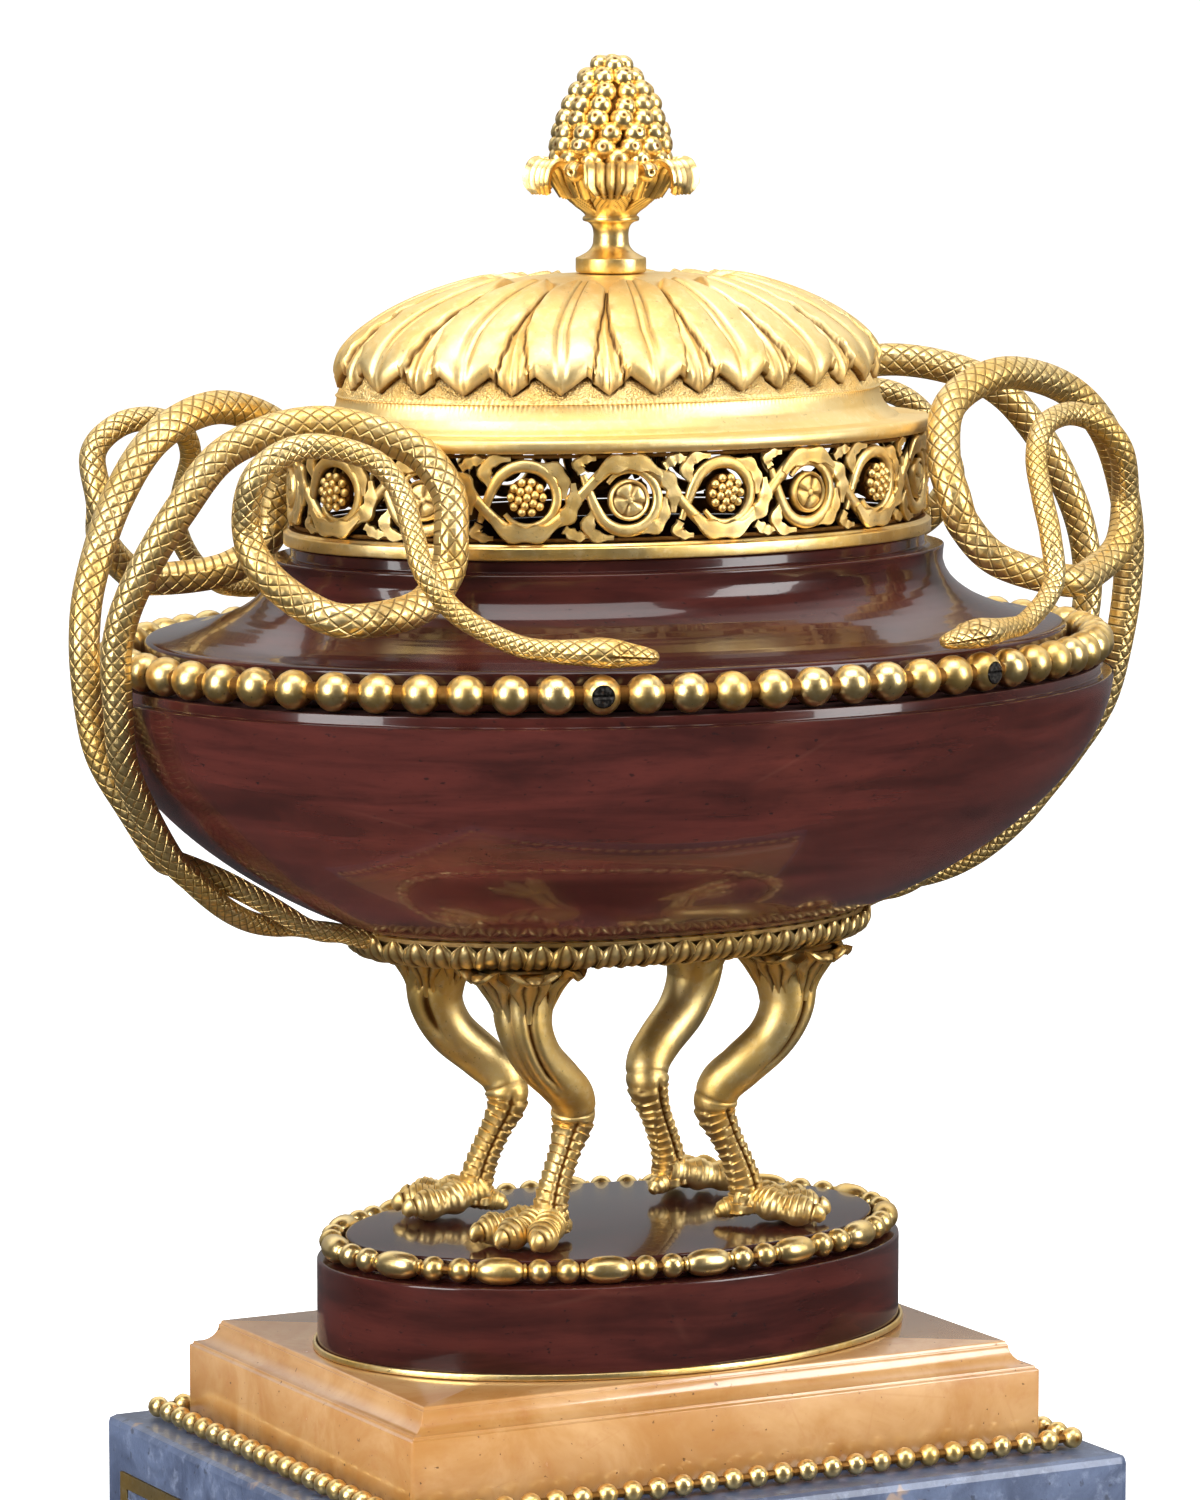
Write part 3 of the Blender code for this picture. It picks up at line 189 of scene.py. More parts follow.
# Lid's dome: height of the leaf tips, half length of its flat top, how far it spreads from there, and
# how far the leaves are drawn in
TIP_HEIGHT = 0.3713
DOME_TOP = 0.0200
DOME_SPREAD = 0.0665
LEAF_INSET = 0.0026

CALYX_TURN = math.radians(-118.0)  # where a broad leaf of the finial faces

# Finial's foot and leaf cup: radius and height over its base
FINIAL_FOOT = (
    (0.0002, 0.0000),
    (0.0103, 0.0000),
    (0.0103, 0.0044),
    (0.0094, 0.0046),
    (0.0066, 0.0062),
    (0.0053, 0.0080),
    (0.0051, 0.0115),
    (0.0055, 0.0135),
    (0.0066, 0.0147),
    (0.0083, 0.0150),
    (0.0083, 0.0162),
    (0.0074, 0.0166),
    (0.0086, 0.0178),
    (0.0102, 0.0190),
    (0.0120, 0.0206),
    (0.0138, 0.0222),
    (0.0152, 0.0240),
    (0.0162, 0.0258),
    (0.0170, 0.0300),
    (0.0150, 0.0312),
    (0.0002, 0.0312),
)

# Leaves of one length of the scroll, in millimetres from the blossom's middle: along, up and half
# width, and how far the leaf lies in front of the band, in metres
SCROLL_LEAVES = (
    (((-9.6, 5.4, 1.0), (-6.4, 8.8, 2.2), (-1.2, 10.0, 2.6), (4.6, 9.4, 2.2), (9.4, 6.2, 0.6)), 0.0014),
    (((7.6, 7.4, 1.2), (11.2, 5.0, 2.4), (13.2, 0.6, 2.2), (13.0, -4.4, 0.7)), 0.0009),
    (((-13.4, 7.2, 1.2), (-14.4, 9.4, 1.8), (-12.6, 11.0, 1.4), (-9.4, 11.2, 0.6)), -0.0002),
    (((10.6, 8.6, 1.3), (14.0, 10.6, 1.7), (17.6, 10.6, 0.6)), 0.0),
    (((-9.6, -3.2, 1.0), (-11.8, -7.4, 2.0), (-9.4, -10.8, 1.7), (-4.4, -11.2, 0.6)), 0.0004),
    (((3.4, -9.2, 1.1), (7.8, -8.4, 2.0), (10.4, -4.6, 1.7), (10.6, 0.0, 0.6)), 0.0008),
)

# Stage: floor, the point that the lights aim at, soft boxes (name, place, width, height, watts), camera
FLOOR_REACH = 60.0
LIT_POINT = (0.0, 0.0, 0.28)
SOFT_BOXES = (
    ("left_box", (-1.9, -0.7, 1.0), 0.9, 1.5, 52.0),
    ("right_box", (1.2, -1.6, 0.9), 0.7, 1.4, 38.0),
    ("top_box", (-0.2, -0.5, 1.9), 1.5, 1.0, 27.0),
)
CAMERA_PLACE = (-0.9413, -1.7658, 0.5083)
CAMERA_DOWN = 7.08              # degrees that it looks down
CAMERA_TURN = -27.97            # degrees round the upright axis
CAMERA_LENS = 164.8             # millimetres, with a sensor 36 wide


def soft_step(value, start, stop):
    """Rises smoothly from 0 at start to 1 at stop: 3 t squared less 2 t cubed."""
    share = np.clip((value - start) / (stop - start), 0.0, 1.0)
    return share * share * (3.0 - 2.0 * share)


def hill(value, width):
    """A rounded hill of height 1 round 0: e to the minus square of value over width."""
    return np.exp(-((value / width) ** 2))


def wave(value):
    """A cosine that repeats each whole number, from -1 to 1."""
    return np.cos(2.0 * math.pi * value)


def unit(vectors):
    """Vectors divided by their lengths."""
    return vectors / np.maximum(np.linalg.norm(vectors, axis=-1, keepdims=True), 1e-12)


def smooth_curve(rows, count, axes=3):
    """A smooth curve through the rows, read at even steps of its length.

    Between two rows it is the cubic with the rows as ends and half the way between their neighbours as
    slopes; the length is measured over the first few columns.
    """
    rows = np.array(rows, float)
    ends = np.vstack((2.0 * rows[0] - rows[1], rows, 2.0 * rows[-1] - rows[-2]))
    share = np.linspace(0.0, 1.0, 40, endpoint=False)[None, :, None]
    before, start, stop, after = (ends[i:len(ends) - 3 + i, None, :] for i in range(4))
    fine = (
        (2.0 * share**3 - 3.0 * share**2 + 1.0) * start
        + (share**3 - 2.0 * share**2 + share) * (stop - before) / 2.0
        + (3.0 * share**2 - 2.0 * share**3) * stop
        + (share**3 - share**2) * (after - start) / 2.0
    ).reshape(-1, rows.shape[1])
    fine = np.vstack((fine, rows[-1]))
    way = np.concatenate(([0.0], np.cumsum(np.linalg.norm(np.diff(fine[:, :axes], axis=0), axis=1))))
    even = np.linspace(0.0, way[-1], count)
    return np.column_stack([np.interp(even, way, column) for column in fine.T])


def rounded(corners, radius, steps=3):
    """A profile whose corners are rounded.

    Each inner corner becomes a curve of the second degree that starts and ends at the radius from it, or
    at half of a shorter side.
    """
    corners = np.array(corners, float)
    before = corners[:-2] - corners[1:-1]
    after = corners[2:] - corners[1:-1]
    shorter = np.minimum(np.linalg.norm(before, axis=1), np.linalg.norm(after, axis=1))
    reach = np.minimum(radius, 0.48 * shorter)
    start = corners[1:-1] + unit(before) * reach[:, None]
    stop = corners[1:-1] + unit(after) * reach[:, None]
    share = np.linspace(0.0, 1.0, steps + 1)[None, :, None]
    middle = corners[1:-1, None]
    arcs = (1 - share) ** 2 * start[:, None] + 2 * share * (1 - share) * middle + share**2 * stop[:, None]
    return np.vstack((corners[:1], arcs.reshape(-1, 2), corners[-1:]))


def even_angles(half_length, half_depth, shares):
    """Angles of an oval's points that lie at the given shares of its way round."""
    angle = np.linspace(0.0, 2.0 * math.pi, 2049)
    steps = np.hypot(np.diff(half_length * np.cos(angle)), np.diff(half_depth * np.sin(angle)))
    way = np.concatenate(([0.0], np.cumsum(steps)))
    whole = np.floor(shares)
    return np.interp((shares - whole) * way[-1], way, angle) + 2.0 * math.pi * whole


def oval_length(half_length, half_depth):
    """The way round an oval, as the sum of short chords."""
    angle = np.linspace(0.0, 2.0 * math.pi, 2049)
    return np.hypot(np.diff(half_length * np.cos(angle)), np.diff(half_depth * np.sin(angle))).sum()


def on_oval(half_length, half_depth, shares, out=0.0):
    """Points of an oval at shares of its way round, moved outward square to it, and that direction."""
    angle = even_angles(half_length, half_depth, shares)
    outward = unit(np.stack((half_depth * np.cos(angle), half_length * np.sin(angle)), axis=-1))
    flat = np.stack((half_length * np.cos(angle), half_depth * np.sin(angle)), axis=-1)
    return flat + outward * np.asarray(out)[..., None], outward


class Skin:
    """Grids of points gathered into one mesh, with a recess value and a wrap vector at each point."""

    def __init__(self):
        self.points = []
        self.faces = []
        self.recess = []
        self.wrap = []
        self.count = 0

    def add(self, grid, recess=0.0, wrap=(0.0, 0.0, 0.0), rows_wrap=False):
        """Join each point of the grid to the next row's and the next column's, and close it.

        Unless the rows wrap, a cap closes the first and the last row with a fan round its middle.  The
        faces are turned round if the shell they make has a negative volume, so they point outward.
        """
        rows, columns = grid.shape[:2]
        points = grid.reshape(-1, 3)
        hollows = np.broadcast_to(recess, (rows, columns)).ravel()
        wraps = np.broadcast_to(wrap, (rows, columns, 3)).reshape(-1, 3)
        index = np.arange(rows * columns).reshape(rows, columns)
        if rows_wrap:
            index = np.vstack((index, index[:1]))
        index = np.hstack((index, index[:, :1]))
        first, second = index[:-1, :-1].ravel(), index[:-1, 1:].ravel()
        third, fourth = index[1:, 1:].ravel(), index[1:, :-1].ravel()
        quads = np.column_stack((first, second, third, fourth))
        fans = np.zeros((0, 3), int)
        if not rows_wrap:
            poles = np.stack((grid[0].mean(axis=0), grid[-1].mean(axis=0)))
            points = np.vstack((points, poles))
            hollows = np.concatenate((hollows, hollows[[0, -1]]))
            wraps = np.vstack((wraps, wraps[[0, -1]]))
            start = np.full(index.shape[1] - 1, rows * columns)
            head = np.column_stack((start, index[0, 1:], index[0, :-1]))
            tail = np.column_stack((start + 1, index[-1, :-1], index[-1, 1:]))
            fans = np.vstack((head, tail))
        halves = np.vstack((quads[:, [0, 1, 2]], quads[:, [0, 2, 3]], fans))
        corner = points[halves]
        if np.einsum("ij,ij->i", corner[:, 0], np.cross(corner[:, 1], corner[:, 2])).sum() < 0.0:
            quads = quads[:, ::-1]
            fans = fans[:, ::-1]
        self.faces += (quads + self.count).tolist() + (fans + self.count).tolist()
        self.points.append(points)
        self.recess.append(hollows)
        self.wrap.append(wraps)
        self.count += len(points)
        return self

    def piece(self, name, material, slot, nodes, sharp=40.0):
        """The mesh object of these grids, riding on the vase in place of the frame's nodes."""
        mesh = bpy.data.meshes.new(name)
        mesh.from_pydata(np.vstack(self.points).tolist(), [], self.faces)
        # recess: how deep each point lies in a hollow, a crease or behind a part; the gilt finishes darken
        # from it as painted shade and patina, the red marble as painted shade
        recess = mesh.attributes.new("recess", "FLOAT", "POINT")
        recess.data.foreach_set("value", np.concatenate(self.recess).astype(np.float32))
        wrap = mesh.attributes.new("wrap", "FLOAT_VECTOR", "POINT")
        wrap.data.foreach_set("vector", np.vstack(self.wrap).astype(np.float32).ravel())
        mesh.shade_smooth()
        mesh.set_sharp_from_angle(angle=math.radians(sharp))
        mesh.materials.append(material)
        thing = bpy.data.objects.new(name, mesh)
        bpy.context.scene.collection.objects.link(thing)
        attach(thing, "root")
        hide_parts(*nodes)
        return thing


def turned(profile, columns, depth_of):
    """A profile of half length and height turned about the upright axis and drawn out to an oval.

    Each point is the half length times the cosine, the half depth times the sine, and the height.
    """
    profile = np.array(profile, float)
    length = profile[:, 0:1]
    depth = depth_of(length)
    share = np.arange(columns)[None, :] / columns
    angle = even_angles(1.0, 0.8, share)
    x = length * np.cos(angle)
    y = depth * np.sin(angle)
    z = np.broadcast_to(profile[:, 1:2], x.shape)
    return np.stack((x, y, z), axis=-1)


def vessel_depth(length):
    """Half depth of the vessel at a half length: less by a constant, and in proportion near the axis."""
    return np.maximum(length - VESSEL_DIFFERENCE, 0.42 * length)


def plinth_depth(length):
    """Half depth of the oval plinth at a half length."""
    return np.maximum(length - PLINTH_DIFFERENCE, 0.60 * length)


def swept(route, upward, across, along_up, columns):
    """A closed profile carried along a route.

    Each ring is the route's point, plus its side direction times the half width times the cosine, plus
    its upper direction times the half height times the sine.  The upper direction is the given one made
    square to the route.
    """
    tangent = unit(np.gradient(route, axis=0))
    upper = unit(upward - (upward * tangent).sum(axis=1, keepdims=True) * tangent)
    side = np.cross(tangent, upper)
    angle = 2.0 * math.pi * np.arange(columns)[None, :, None] / columns
    wide = np.asarray(across)
    tall = np.asarray(along_up)
    wide = wide[:, None, None] if wide.ndim == 1 else wide[..., None]
    tall = tall[:, None, None] if tall.ndim == 1 else tall[..., None]
    return route[:, None] + side[:, None] * wide * np.cos(angle) + upper[:, None] * tall * np.sin(angle)


def beads(skin, centres, directions, half_length, radius, rows, columns, power=2.0):
    """Beads in a row: each ring's radius is (1 - share of half length to the power) to the half."""
    share = np.cos(np.linspace(0.97 * math.pi, 0.03 * math.pi, rows))
    size = radius * np.sqrt(np.maximum(1.0 - np.abs(share) ** power, 0.0))
    angle = 2.0 * math.pi * np.arange(columns) / columns
    upper = np.array((0.0, 0.0, 1.0))
    # painted shade where neighbouring beads meet: their ends are marked as recess, which darkens the
    # gilding
    recess = np.broadcast_to(0.8 * soft_step(np.abs(share), 0.80, 1.0)[:, None], (rows, columns))
    for centre, direction in zip(centres, directions):
        side = np.cross(upper, direction)
        ring = side * np.cos(angle)[:, None] + upper * np.sin(angle)[:, None]
        grid = centre + direction * (share * half_length)[:, None, None] + ring[None] * size[:, None, None]
        skin.add(grid, recess)


class Wire:
    """A socket of a finish that gives a number; arithmetic on it adds Math nodes."""

    def __init__(self, finish, socket):
        self.finish = finish
        self.socket = socket

    def sum(self, operation, first, second):
        """A Math node on two numbers or sockets."""
        return self.finish.node("ShaderNodeMath", {"operation": operation}, {0: first, 1: second})

    def __add__(self, other):
        return self.sum("ADD", self, other)

    def __radd__(self, other):
        return self.sum("ADD", other, self)

    def __sub__(self, other):
        return self.sum("SUBTRACT", self, other)

    def __rsub__(self, other):
        return self.sum("SUBTRACT", other, self)

    def __mul__(self, other):
        return self.sum("MULTIPLY", self, other)

    def __rmul__(self, other):
        return self.sum("MULTIPLY", other, self)

    def __truediv__(self, other):
        return self.sum("DIVIDE", self, other)

    def to_middle(self):
        """How far the number is from the middle between two whole numbers, from 0 to a half."""
        part = self.sum("FRACT", self, 0.0)
        return self.sum("ABSOLUTE", part - 0.5, 0.0)

    def step(self, start, stop):
        """Rises smoothly from 0 at start to 1 at stop."""
        return self.finish.node(
            "ShaderNodeMapRange",
            {"interpolation_type": "SMOOTHSTEP"},
            {"Value": self, "From Min": start, "From Max": stop},
        )


class Nodes:
    """A node tree, to which nodes are added by kind."""

    def __init__(self, tree):
        self.tree = tree

    def node(self, kind, settings=None, inputs=None, output=0):
        """A node of a kind: its settings are set first, then its sockets are set or linked."""
        made = self.tree.nodes.new(kind)
        for key, value in (settings or {}).items():
            setattr(made, key, value)
        for key, value in (inputs or {}).items():
            named = [socket for socket in made.inputs if key in (socket.identifier, socket.name)]
            self.feed(made.inputs[key] if isinstance(key, int) else named[0], value)
        outputs = [socket for socket in made.outputs if output in (socket.identifier, socket.name)]
        return Wire(self, made.outputs[output] if isinstance(output, int) else outputs[0])

    def feed(self, socket, value):
        """Link a wire to a socket, or set the socket's own value."""
        if isinstance(value, Wire):
            self.tree.links.new(value.socket, socket)
        elif hasattr(socket.default_value, "__len__") and len(socket.default_value) == 4:
            socket.default_value = (*value[:3], 1.0)
        else:
            socket.default_value = value

    def parts(self, vector):
        """The three numbers of a vector."""
        split = self.node("ShaderNodeSeparateXYZ", inputs={"Vector": vector})
        outputs = split.socket.node.outputs
        return Wire(self, outputs[0]), Wire(self, outputs[1]), Wire(self, outputs[2])

    def blend(self, share, first, second):
        """A colour between two colours."""
        sockets = {"Factor_Float": share, "A_Color": first, "B_Color": second}
        return self.node("ShaderNodeMix", {"data_type": "RGBA"}, sockets, output="Result_Color")


class Finish(Nodes):
    """The node tree of one material, and its Principled shader."""

    def __init__(self, name, **constants):
        self.material = bpy.data.materials.new(name)
        self.material.use_nodes = True
        super().__init__(self.material.node_tree)
        self.shader = self.tree.nodes["Principled BSDF"]
        for key, value in constants.items():
            self.shader.inputs[key.replace("_", " ").title().replace("Ior", "IOR")].default_value = value
        self.place = self.node("ShaderNodeTexCoord", output="Object")

    def own(self, name, output="Fac"):
        """The piece's own attribute of a name."""
        return self.node("ShaderNodeAttribute", {"attribute_name": name}, output=output)

    def stretched(self, scale, turn=(0.0, 0.0, 0.0)):
        """Object coordinates stretched and turned."""
        sockets = {"Vector": self.place, "Scale": scale, "Rotation": turn}
        return self.node("ShaderNodeMapping", inputs=sockets)

    def noise(self, scale, detail=2.0, vector=None, rough=0.5, distort=0.0):
        """Cloudy noise between 0 and 1."""
        sockets = {"Vector": vector or self.place, "Scale": scale, "Detail": detail}
        sockets.update({"Roughness": rough, "Distortion": distort})
        return self.node("ShaderNodeTexNoise", inputs=sockets)

    def cells(self, scale, feature="DISTANCE_TO_EDGE", vector=None):
        """Distance to the nearest border or middle of irregular cells."""
        sockets = {"Vector": vector or self.place, "Scale": scale}
        return self.node("ShaderNodeTexVoronoi", {"feature": feature}, sockets, output="Distance")

    def bump(self, height, distance, under=None):
        """A normal from a height, over another normal."""
        sockets = {"Height": height, "Distance": distance, "Strength": 1.0}
        if under:
            sockets["Normal"] = under
        return self.node("ShaderNodeBump", inputs=sockets, output="Normal")

    def give(self, **wires):
        """Link wires to the shader's sockets and return the material."""
        for key, wire in wires.items():
            self.feed(self.shader.inputs[key.replace("_", " ").title()], wire)
        return self.material


def colours():
    """The colours that a user may change."""
    return bpy.context.scene.vase_colours


def sizes():
    """The sizes that a user may change."""
    return bpy.context.scene.vase_sizes


def kept(name, make):
    """The finish of a name, made the first time it is asked for."""
    found = bpy.data.materials.get(name)
    return found or make(name)


def gilt_base(name):
    """Mercury gilding: burnished and matt patches, brown patina with painted shade in the recesses, and
    small dark specks.
    """
    palette = colours()
    finish = Finish(name, metallic=1.0)
    recess = finish.own("recess")
    broad = finish.noise(45.0, 3.0)
    fine = finish.noise(420.0, 4.0, rough=0.65)
    grain = finish.noise(2600.0, 2.0)
    specks = finish.noise(900.0, 2.0).step(0.66, 0.74)
    warm = finish.blend(broad.step(0.35, 0.68), tuple(palette.gilt), tuple(palette.gilt_deep))
    worn = finish.blend(fine.step(0.45, 0.75) * 0.35, warm, tuple(palette.gilt_pale))
    # painted shade and patina: the recess value darkens the gilding toward the patina colour in hollows,
    # creases and behind parts
    shadow = (recess * 1.1 + fine * 0.35 - 0.15).step(0.12, 0.95)
    dark = finish.blend(shadow, worn, tuple(palette.patina_and_shade))
    spotted = finish.blend(specks * 0.35, dark, tuple(palette.patina_and_shade))
    rough = 0.22 + fine * 0.16 + broad.step(0.40, 0.70) * 0.10 + shadow * 0.30
    relief = fine * 0.6 + grain * 0.25
    return finish, spotted, rough, relief


def gilt(name="gilt_bronze_chased"):
    """Gilding with a fine cast grain."""
    def make(name):
        finish, colour, rough, relief = gilt_base(name)
        return finish.give(base_color=colour, roughness=rough, normal=finish.bump(relief, 0.00012))
    return kept(name, make)


def satin_gilt(name="gilt_bronze_satin"):
    """Chased gilding that was left less burnished."""
    def make(name):
        finish, colour, rough, relief = gilt_base(name)
        return finish.give(base_color=colour, roughness=rough + 0.12, normal=finish.bump(relief, 0.00016))
    return kept(name, make)


def punched_gilt(name="gilt_bronze_punched"):
    """Pale matt gilding, punched where the skin's wrap vector says so."""
    def make(name):
        finish, gilding, rough, relief = gilt_base(name)
        colour = finish.blend(0.12 - finish.own("recess") * 0.12, gilding, tuple(colours().gilt_pale))
        ground = finish.parts(finish.own("wrap", "Vector"))[0]
        dots = finish.cells(1500.0, "F1")
        under = finish.bump(dots * ground, 0.0006)
        matt = rough + 0.14 + ground * 0.10
        cast = finish.bump(relief, 0.00012, under=under)
        return finish.give(base_color=colour, roughness=matt, normal=cast)
    return kept(name, make)


def scaly_gilt(name="gilt_bronze_scales"):
    """Gilding incised with diamond scales on a serpent's back and with cross bands under its belly, the
    incised lines painted dark as shade.
    """
    def make(name):
        finish, colour, rough, relief = gilt_base(name)
        across, upward, along = finish.parts(finish.own("wrap", "Vector"))
        angle = across.sum("ARCTAN2", upward, across) / (2.0 * math.pi)
        around = angle * SCALES_ROUND
        first = (along + around).to_middle()
        second = (along - around).to_middle()
        line = first.sum("MAXIMUM", first, second).step(0.37, 0.49)
        belly = upward.step(-0.74, -0.84)
        band = (along * 1.6).to_middle().step(0.34, 0.48)
        groove = line * (1.0 - belly) + band * belly
        pillow = (1.0 - first.sum("MAXIMUM", first, second) * 1.6) * (1.0 - belly)
        # painted shade: the scale lines and belly bands are darkened toward the patina colour
        grooves_shaded = finish.blend(groove * 0.60, colour, tuple(colours().patina_and_shade))
        under = finish.bump(pillow * 0.5 - groove, 0.00055)
        cast = finish.bump(relief, 0.0001, under=under)
        return finish.give(base_color=grooves_shaded, roughness=rough + 0.07 + groove * 0.2, normal=cast)
    return kept(name, make)


def red_marble(name="red_marble_polished"):
    """Polished dark red marble with level darker streaks, black specks and a few pale veins.

    Where the skin's recess is 1, inside the vessel, it is darkened as painted shade and unpolished.
    """
    def make(name):
        palette = colours()
        finish = Finish(name, coat_roughness=0.04, coat_ior=1.5, specular_ior_level=0.15)
        inside = finish.own("recess")
        level = finish.stretched((14.0, 14.0, 120.0), (0.05, -0.04, 0.0))
        streak = finish.noise(1.0, 6.0, level, 0.62, 0.6)
        cloud = finish.noise(16.0, 4.0, rough=0.6)
        fine = finish.noise(1.0, 5.0, finish.stretched((90.0, 90.0, 520.0)), 0.7)
        speck = finish.noise(1.0, 3.0, finish.stretched((380.0, 380.0, 700.0))).step(0.67, 0.72)
        stain = finish.noise(1.0, 5.0, finish.stretched((60.0, 60.0, 190.0)), 0.7).step(0.68, 0.76)
        body = finish.blend(streak.step(0.30, 0.72), tuple(palette.red_dark), tuple(palette.red))
        lighter = finish.blend(cloud.step(0.45, 0.78) * 0.40, body, tuple(palette.red_light))
        grained = finish.blend(fine.step(0.46, 0.80) * 0.60, lighter, tuple(palette.red_dark))
        veined = finish.cells(7.0, vector=finish.stretched((1.0, 1.0, 3.2), (0.3, 0.2, 0.0)))
        vein = 1.0 - veined.step(0.0, 0.012)
        paled = finish.blend(vein * cloud.step(0.5, 0.62) * 0.03, grained, tuple(palette.red_vein))
        spots = speck.sum("MAXIMUM", speck * 0.8, stain * 0.75)
        blackened = finish.blend(spots, paled, (0.012, 0.006, 0.006))
        return finish.give(
            # painted shade: the inside of the vessel is blended toward the dark red
            base_color=finish.blend(inside * 0.8, blackened, tuple(palette.red_dark)),
            roughness=0.16 + fine * 0.06 + inside * 0.5,
            coat_weight=(0.38 - speck * 0.2) * (1.0 - inside),
            normal=finish.bump(streak + speck * 0.5, 0.00004),
        )
    return kept(name, make)


def yellow_marble(name="yellow_marble_polished"):
    """Honey yellow marble with paler clouds, thin brown veins and small dark pits."""
    def make(name):
        palette = colours()
        finish = Finish(name, coat_roughness=0.05)
        cloud = finish.noise(28.0, 5.0, rough=0.62, distort=0.8)
        fine = finish.noise(190.0, 4.0, rough=0.6)
        veined = finish.cells(34.0, vector=finish.stretched((1.0, 1.0, 1.7), (0.4, 0.7, 0.2)))
        vein = 1.0 - veined.step(0.0, 0.02)
        pit = finish.noise(520.0, 2.0).step(0.70, 0.76)
        body = finish.blend(cloud.step(0.30, 0.72), tuple(palette.yellow), tuple(palette.yellow_pale))
        freckled = finish.blend(fine.step(0.52, 0.8) * 0.35, body, tuple(palette.yellow_deep))
        lined = finish.blend(vein * cloud.step(0.46, 0.60) * 0.18, freckled, tuple(palette.yellow_deep))
        pitted = finish.blend(pit * 0.8, lined, (0.09, 0.04, 0.015))
        return finish.give(
            base_color=pitted,
            roughness=0.20 + fine * 0.10,
            coat_weight=0.6 - pit * 0.5,
            normal=finish.bump(fine * 0.3 - pit, 0.00012),
        )
    return kept(name, make)


def blue_marble(name="blue_marble_honed"):
    """Blue-grey marble with slate and pale clouds, dark flecks and tan spots, slightly rough."""
    def make(name):
        palette = colours()
        finish = Finish(name, coat_roughness=0.25)
        cloud = finish.noise(22.0, 6.0, rough=0.68, distort=1.2)
        fine = finish.noise(150.0, 5.0, rough=0.7)
        grain = finish.noise(900.0, 3.0, rough=0.7)
        tan = finish.noise(70.0, 3.0, rough=0.6).step(0.66, 0.72)
        fleck = finish.noise(240.0, 3.0).step(0.63, 0.70)
        body = finish.blend(cloud.step(0.32, 0.68), tuple(palette.blue), tuple(palette.blue_dark))
        paler = finish.blend(fine.step(0.50, 0.74) * 0.6, body, tuple(palette.blue_pale))
        dusted = finish.blend(grain.step(0.55, 0.75) * 0.4, paler, tuple(palette.blue_dark))
        spotted = finish.blend(tan * 0.7, dusted, (0.30, 0.20, 0.12))
        flecked = finish.blend(fleck * 0.7, spotted, (0.025, 0.03, 0.05))
        return finish.give(
            base_color=flecked,
            roughness=0.34 + fine * 0.16,
            coat_weight=0.25 + grain * 0.1,
            normal=finish.bump(fine * 0.5 + grain * 0.4 - fleck * 0.4, 0.00018),
        )
    return kept(name, make)


def dark_iron(name="dark_iron_worn"):
    """Darkened iron with worn, brighter ridges and rusty spots."""
    def make(name):
        finish = Finish(name, metallic=1.0)
        fine = finish.noise(1100.0, 3.0)
        rust = finish.noise(500.0, 2.0).step(0.58, 0.70)
        body = finish.blend(fine.step(0.4, 0.75), (0.020, 0.018, 0.017), (0.11, 0.10, 0.09))
        rusty = finish.blend(rust * 0.5, body, (0.10, 0.045, 0.02))
        return finish.give(base_color=rusty, roughness=0.42 + fine * 0.25, normal=finish.bump(fine, 0.0001))
    return kept(name, make)


def pale_stage(name="pale_stage", glow_strength=0.75):
    """Matt white floor that glows a little, as a backdrop lit from all sides does."""
    def make(name):
        finish = Finish(name, emission_strength=glow_strength)
        cloud = finish.noise(3.0, 2.0)
        tone = finish.blend(cloud, (0.86, 0.86, 0.86), (0.89, 0.89, 0.89))
        glow = finish.blend(cloud, (0.98, 0.98, 0.98), (1.0, 1.0, 1.0))
        return finish.give(base_color=tone, roughness=0.7 + cloud * 0.1, emission_color=glow)
    return kept(name, make)


def soft_box(name, place, width, height, power):
    """A soft box aimed at the vase's middle."""
    light = bpy.data.lights.new(name, "AREA")
    light.shape = "RECTANGLE"
    light.size = width
    light.size_y = height
    light.energy = power
    thing = bpy.data.objects.new(name, light)
    bpy.context.scene.collection.objects.link(thing)
    place = np.array(place)
    away = unit(place - np.array(LIT_POINT))
    yaw = math.atan2(away[1], away[0]) + math.pi / 2.0
    thing.location = place
    thing.rotation_euler = (math.acos(away[2]), 0.0, yaw)


def studio_air():
    """A world that is bright high behind the vase, dim low behind it and dark elsewhere."""
    world = bpy.data.worlds.new("studio_air")
    world.use_nodes = True
    sky = Nodes(world.node_tree)
    aim = sky.node("ShaderNodeTexCoord", output="Generated")
    back = math.radians(28.0)  # the way that the camera looks, from +Y toward +X
    sockets = {0: aim, 1: (math.sin(back), math.cos(back), 0.0)}
    behind = sky.node("ShaderNodeVectorMath", {"operation": "DOT_PRODUCT"}, sockets, output="Value")
    rise = sky.parts(aim)[2]
    lit = behind.step(0.0, 0.55) * (rise.step(-0.25, 0.0) * 0.22 + rise.step(0.25, 0.60) * 0.78)
    tone = sky.blend(lit, (0.045, 0.043, 0.045), (1.0, 1.0, 1.0))
    sky.feed(world.node_tree.nodes["Background"].inputs["Color"], tone)
    sky.feed(world.node_tree.nodes["Background"].inputs["Strength"], 1.4)
    bpy.context.scene.world = world


def floor():
    """A level square floor that gloss doesn't mirror."""
    reach = FLOOR_REACH
    corners = [(-reach, -reach, 0.0), (reach, -reach, 0.0), (reach, reach, 0.0), (-reach, reach, 0.0)]
    mesh = bpy.data.meshes.new("floor")
    mesh.from_pydata(corners, [], [(0, 1, 2, 3)])
    mesh.materials.append(pale_stage())
    plane = bpy.data.objects.new("floor", mesh)
    plane.visible_glossy = False
    bpy.context.scene.collection.objects.link(plane)


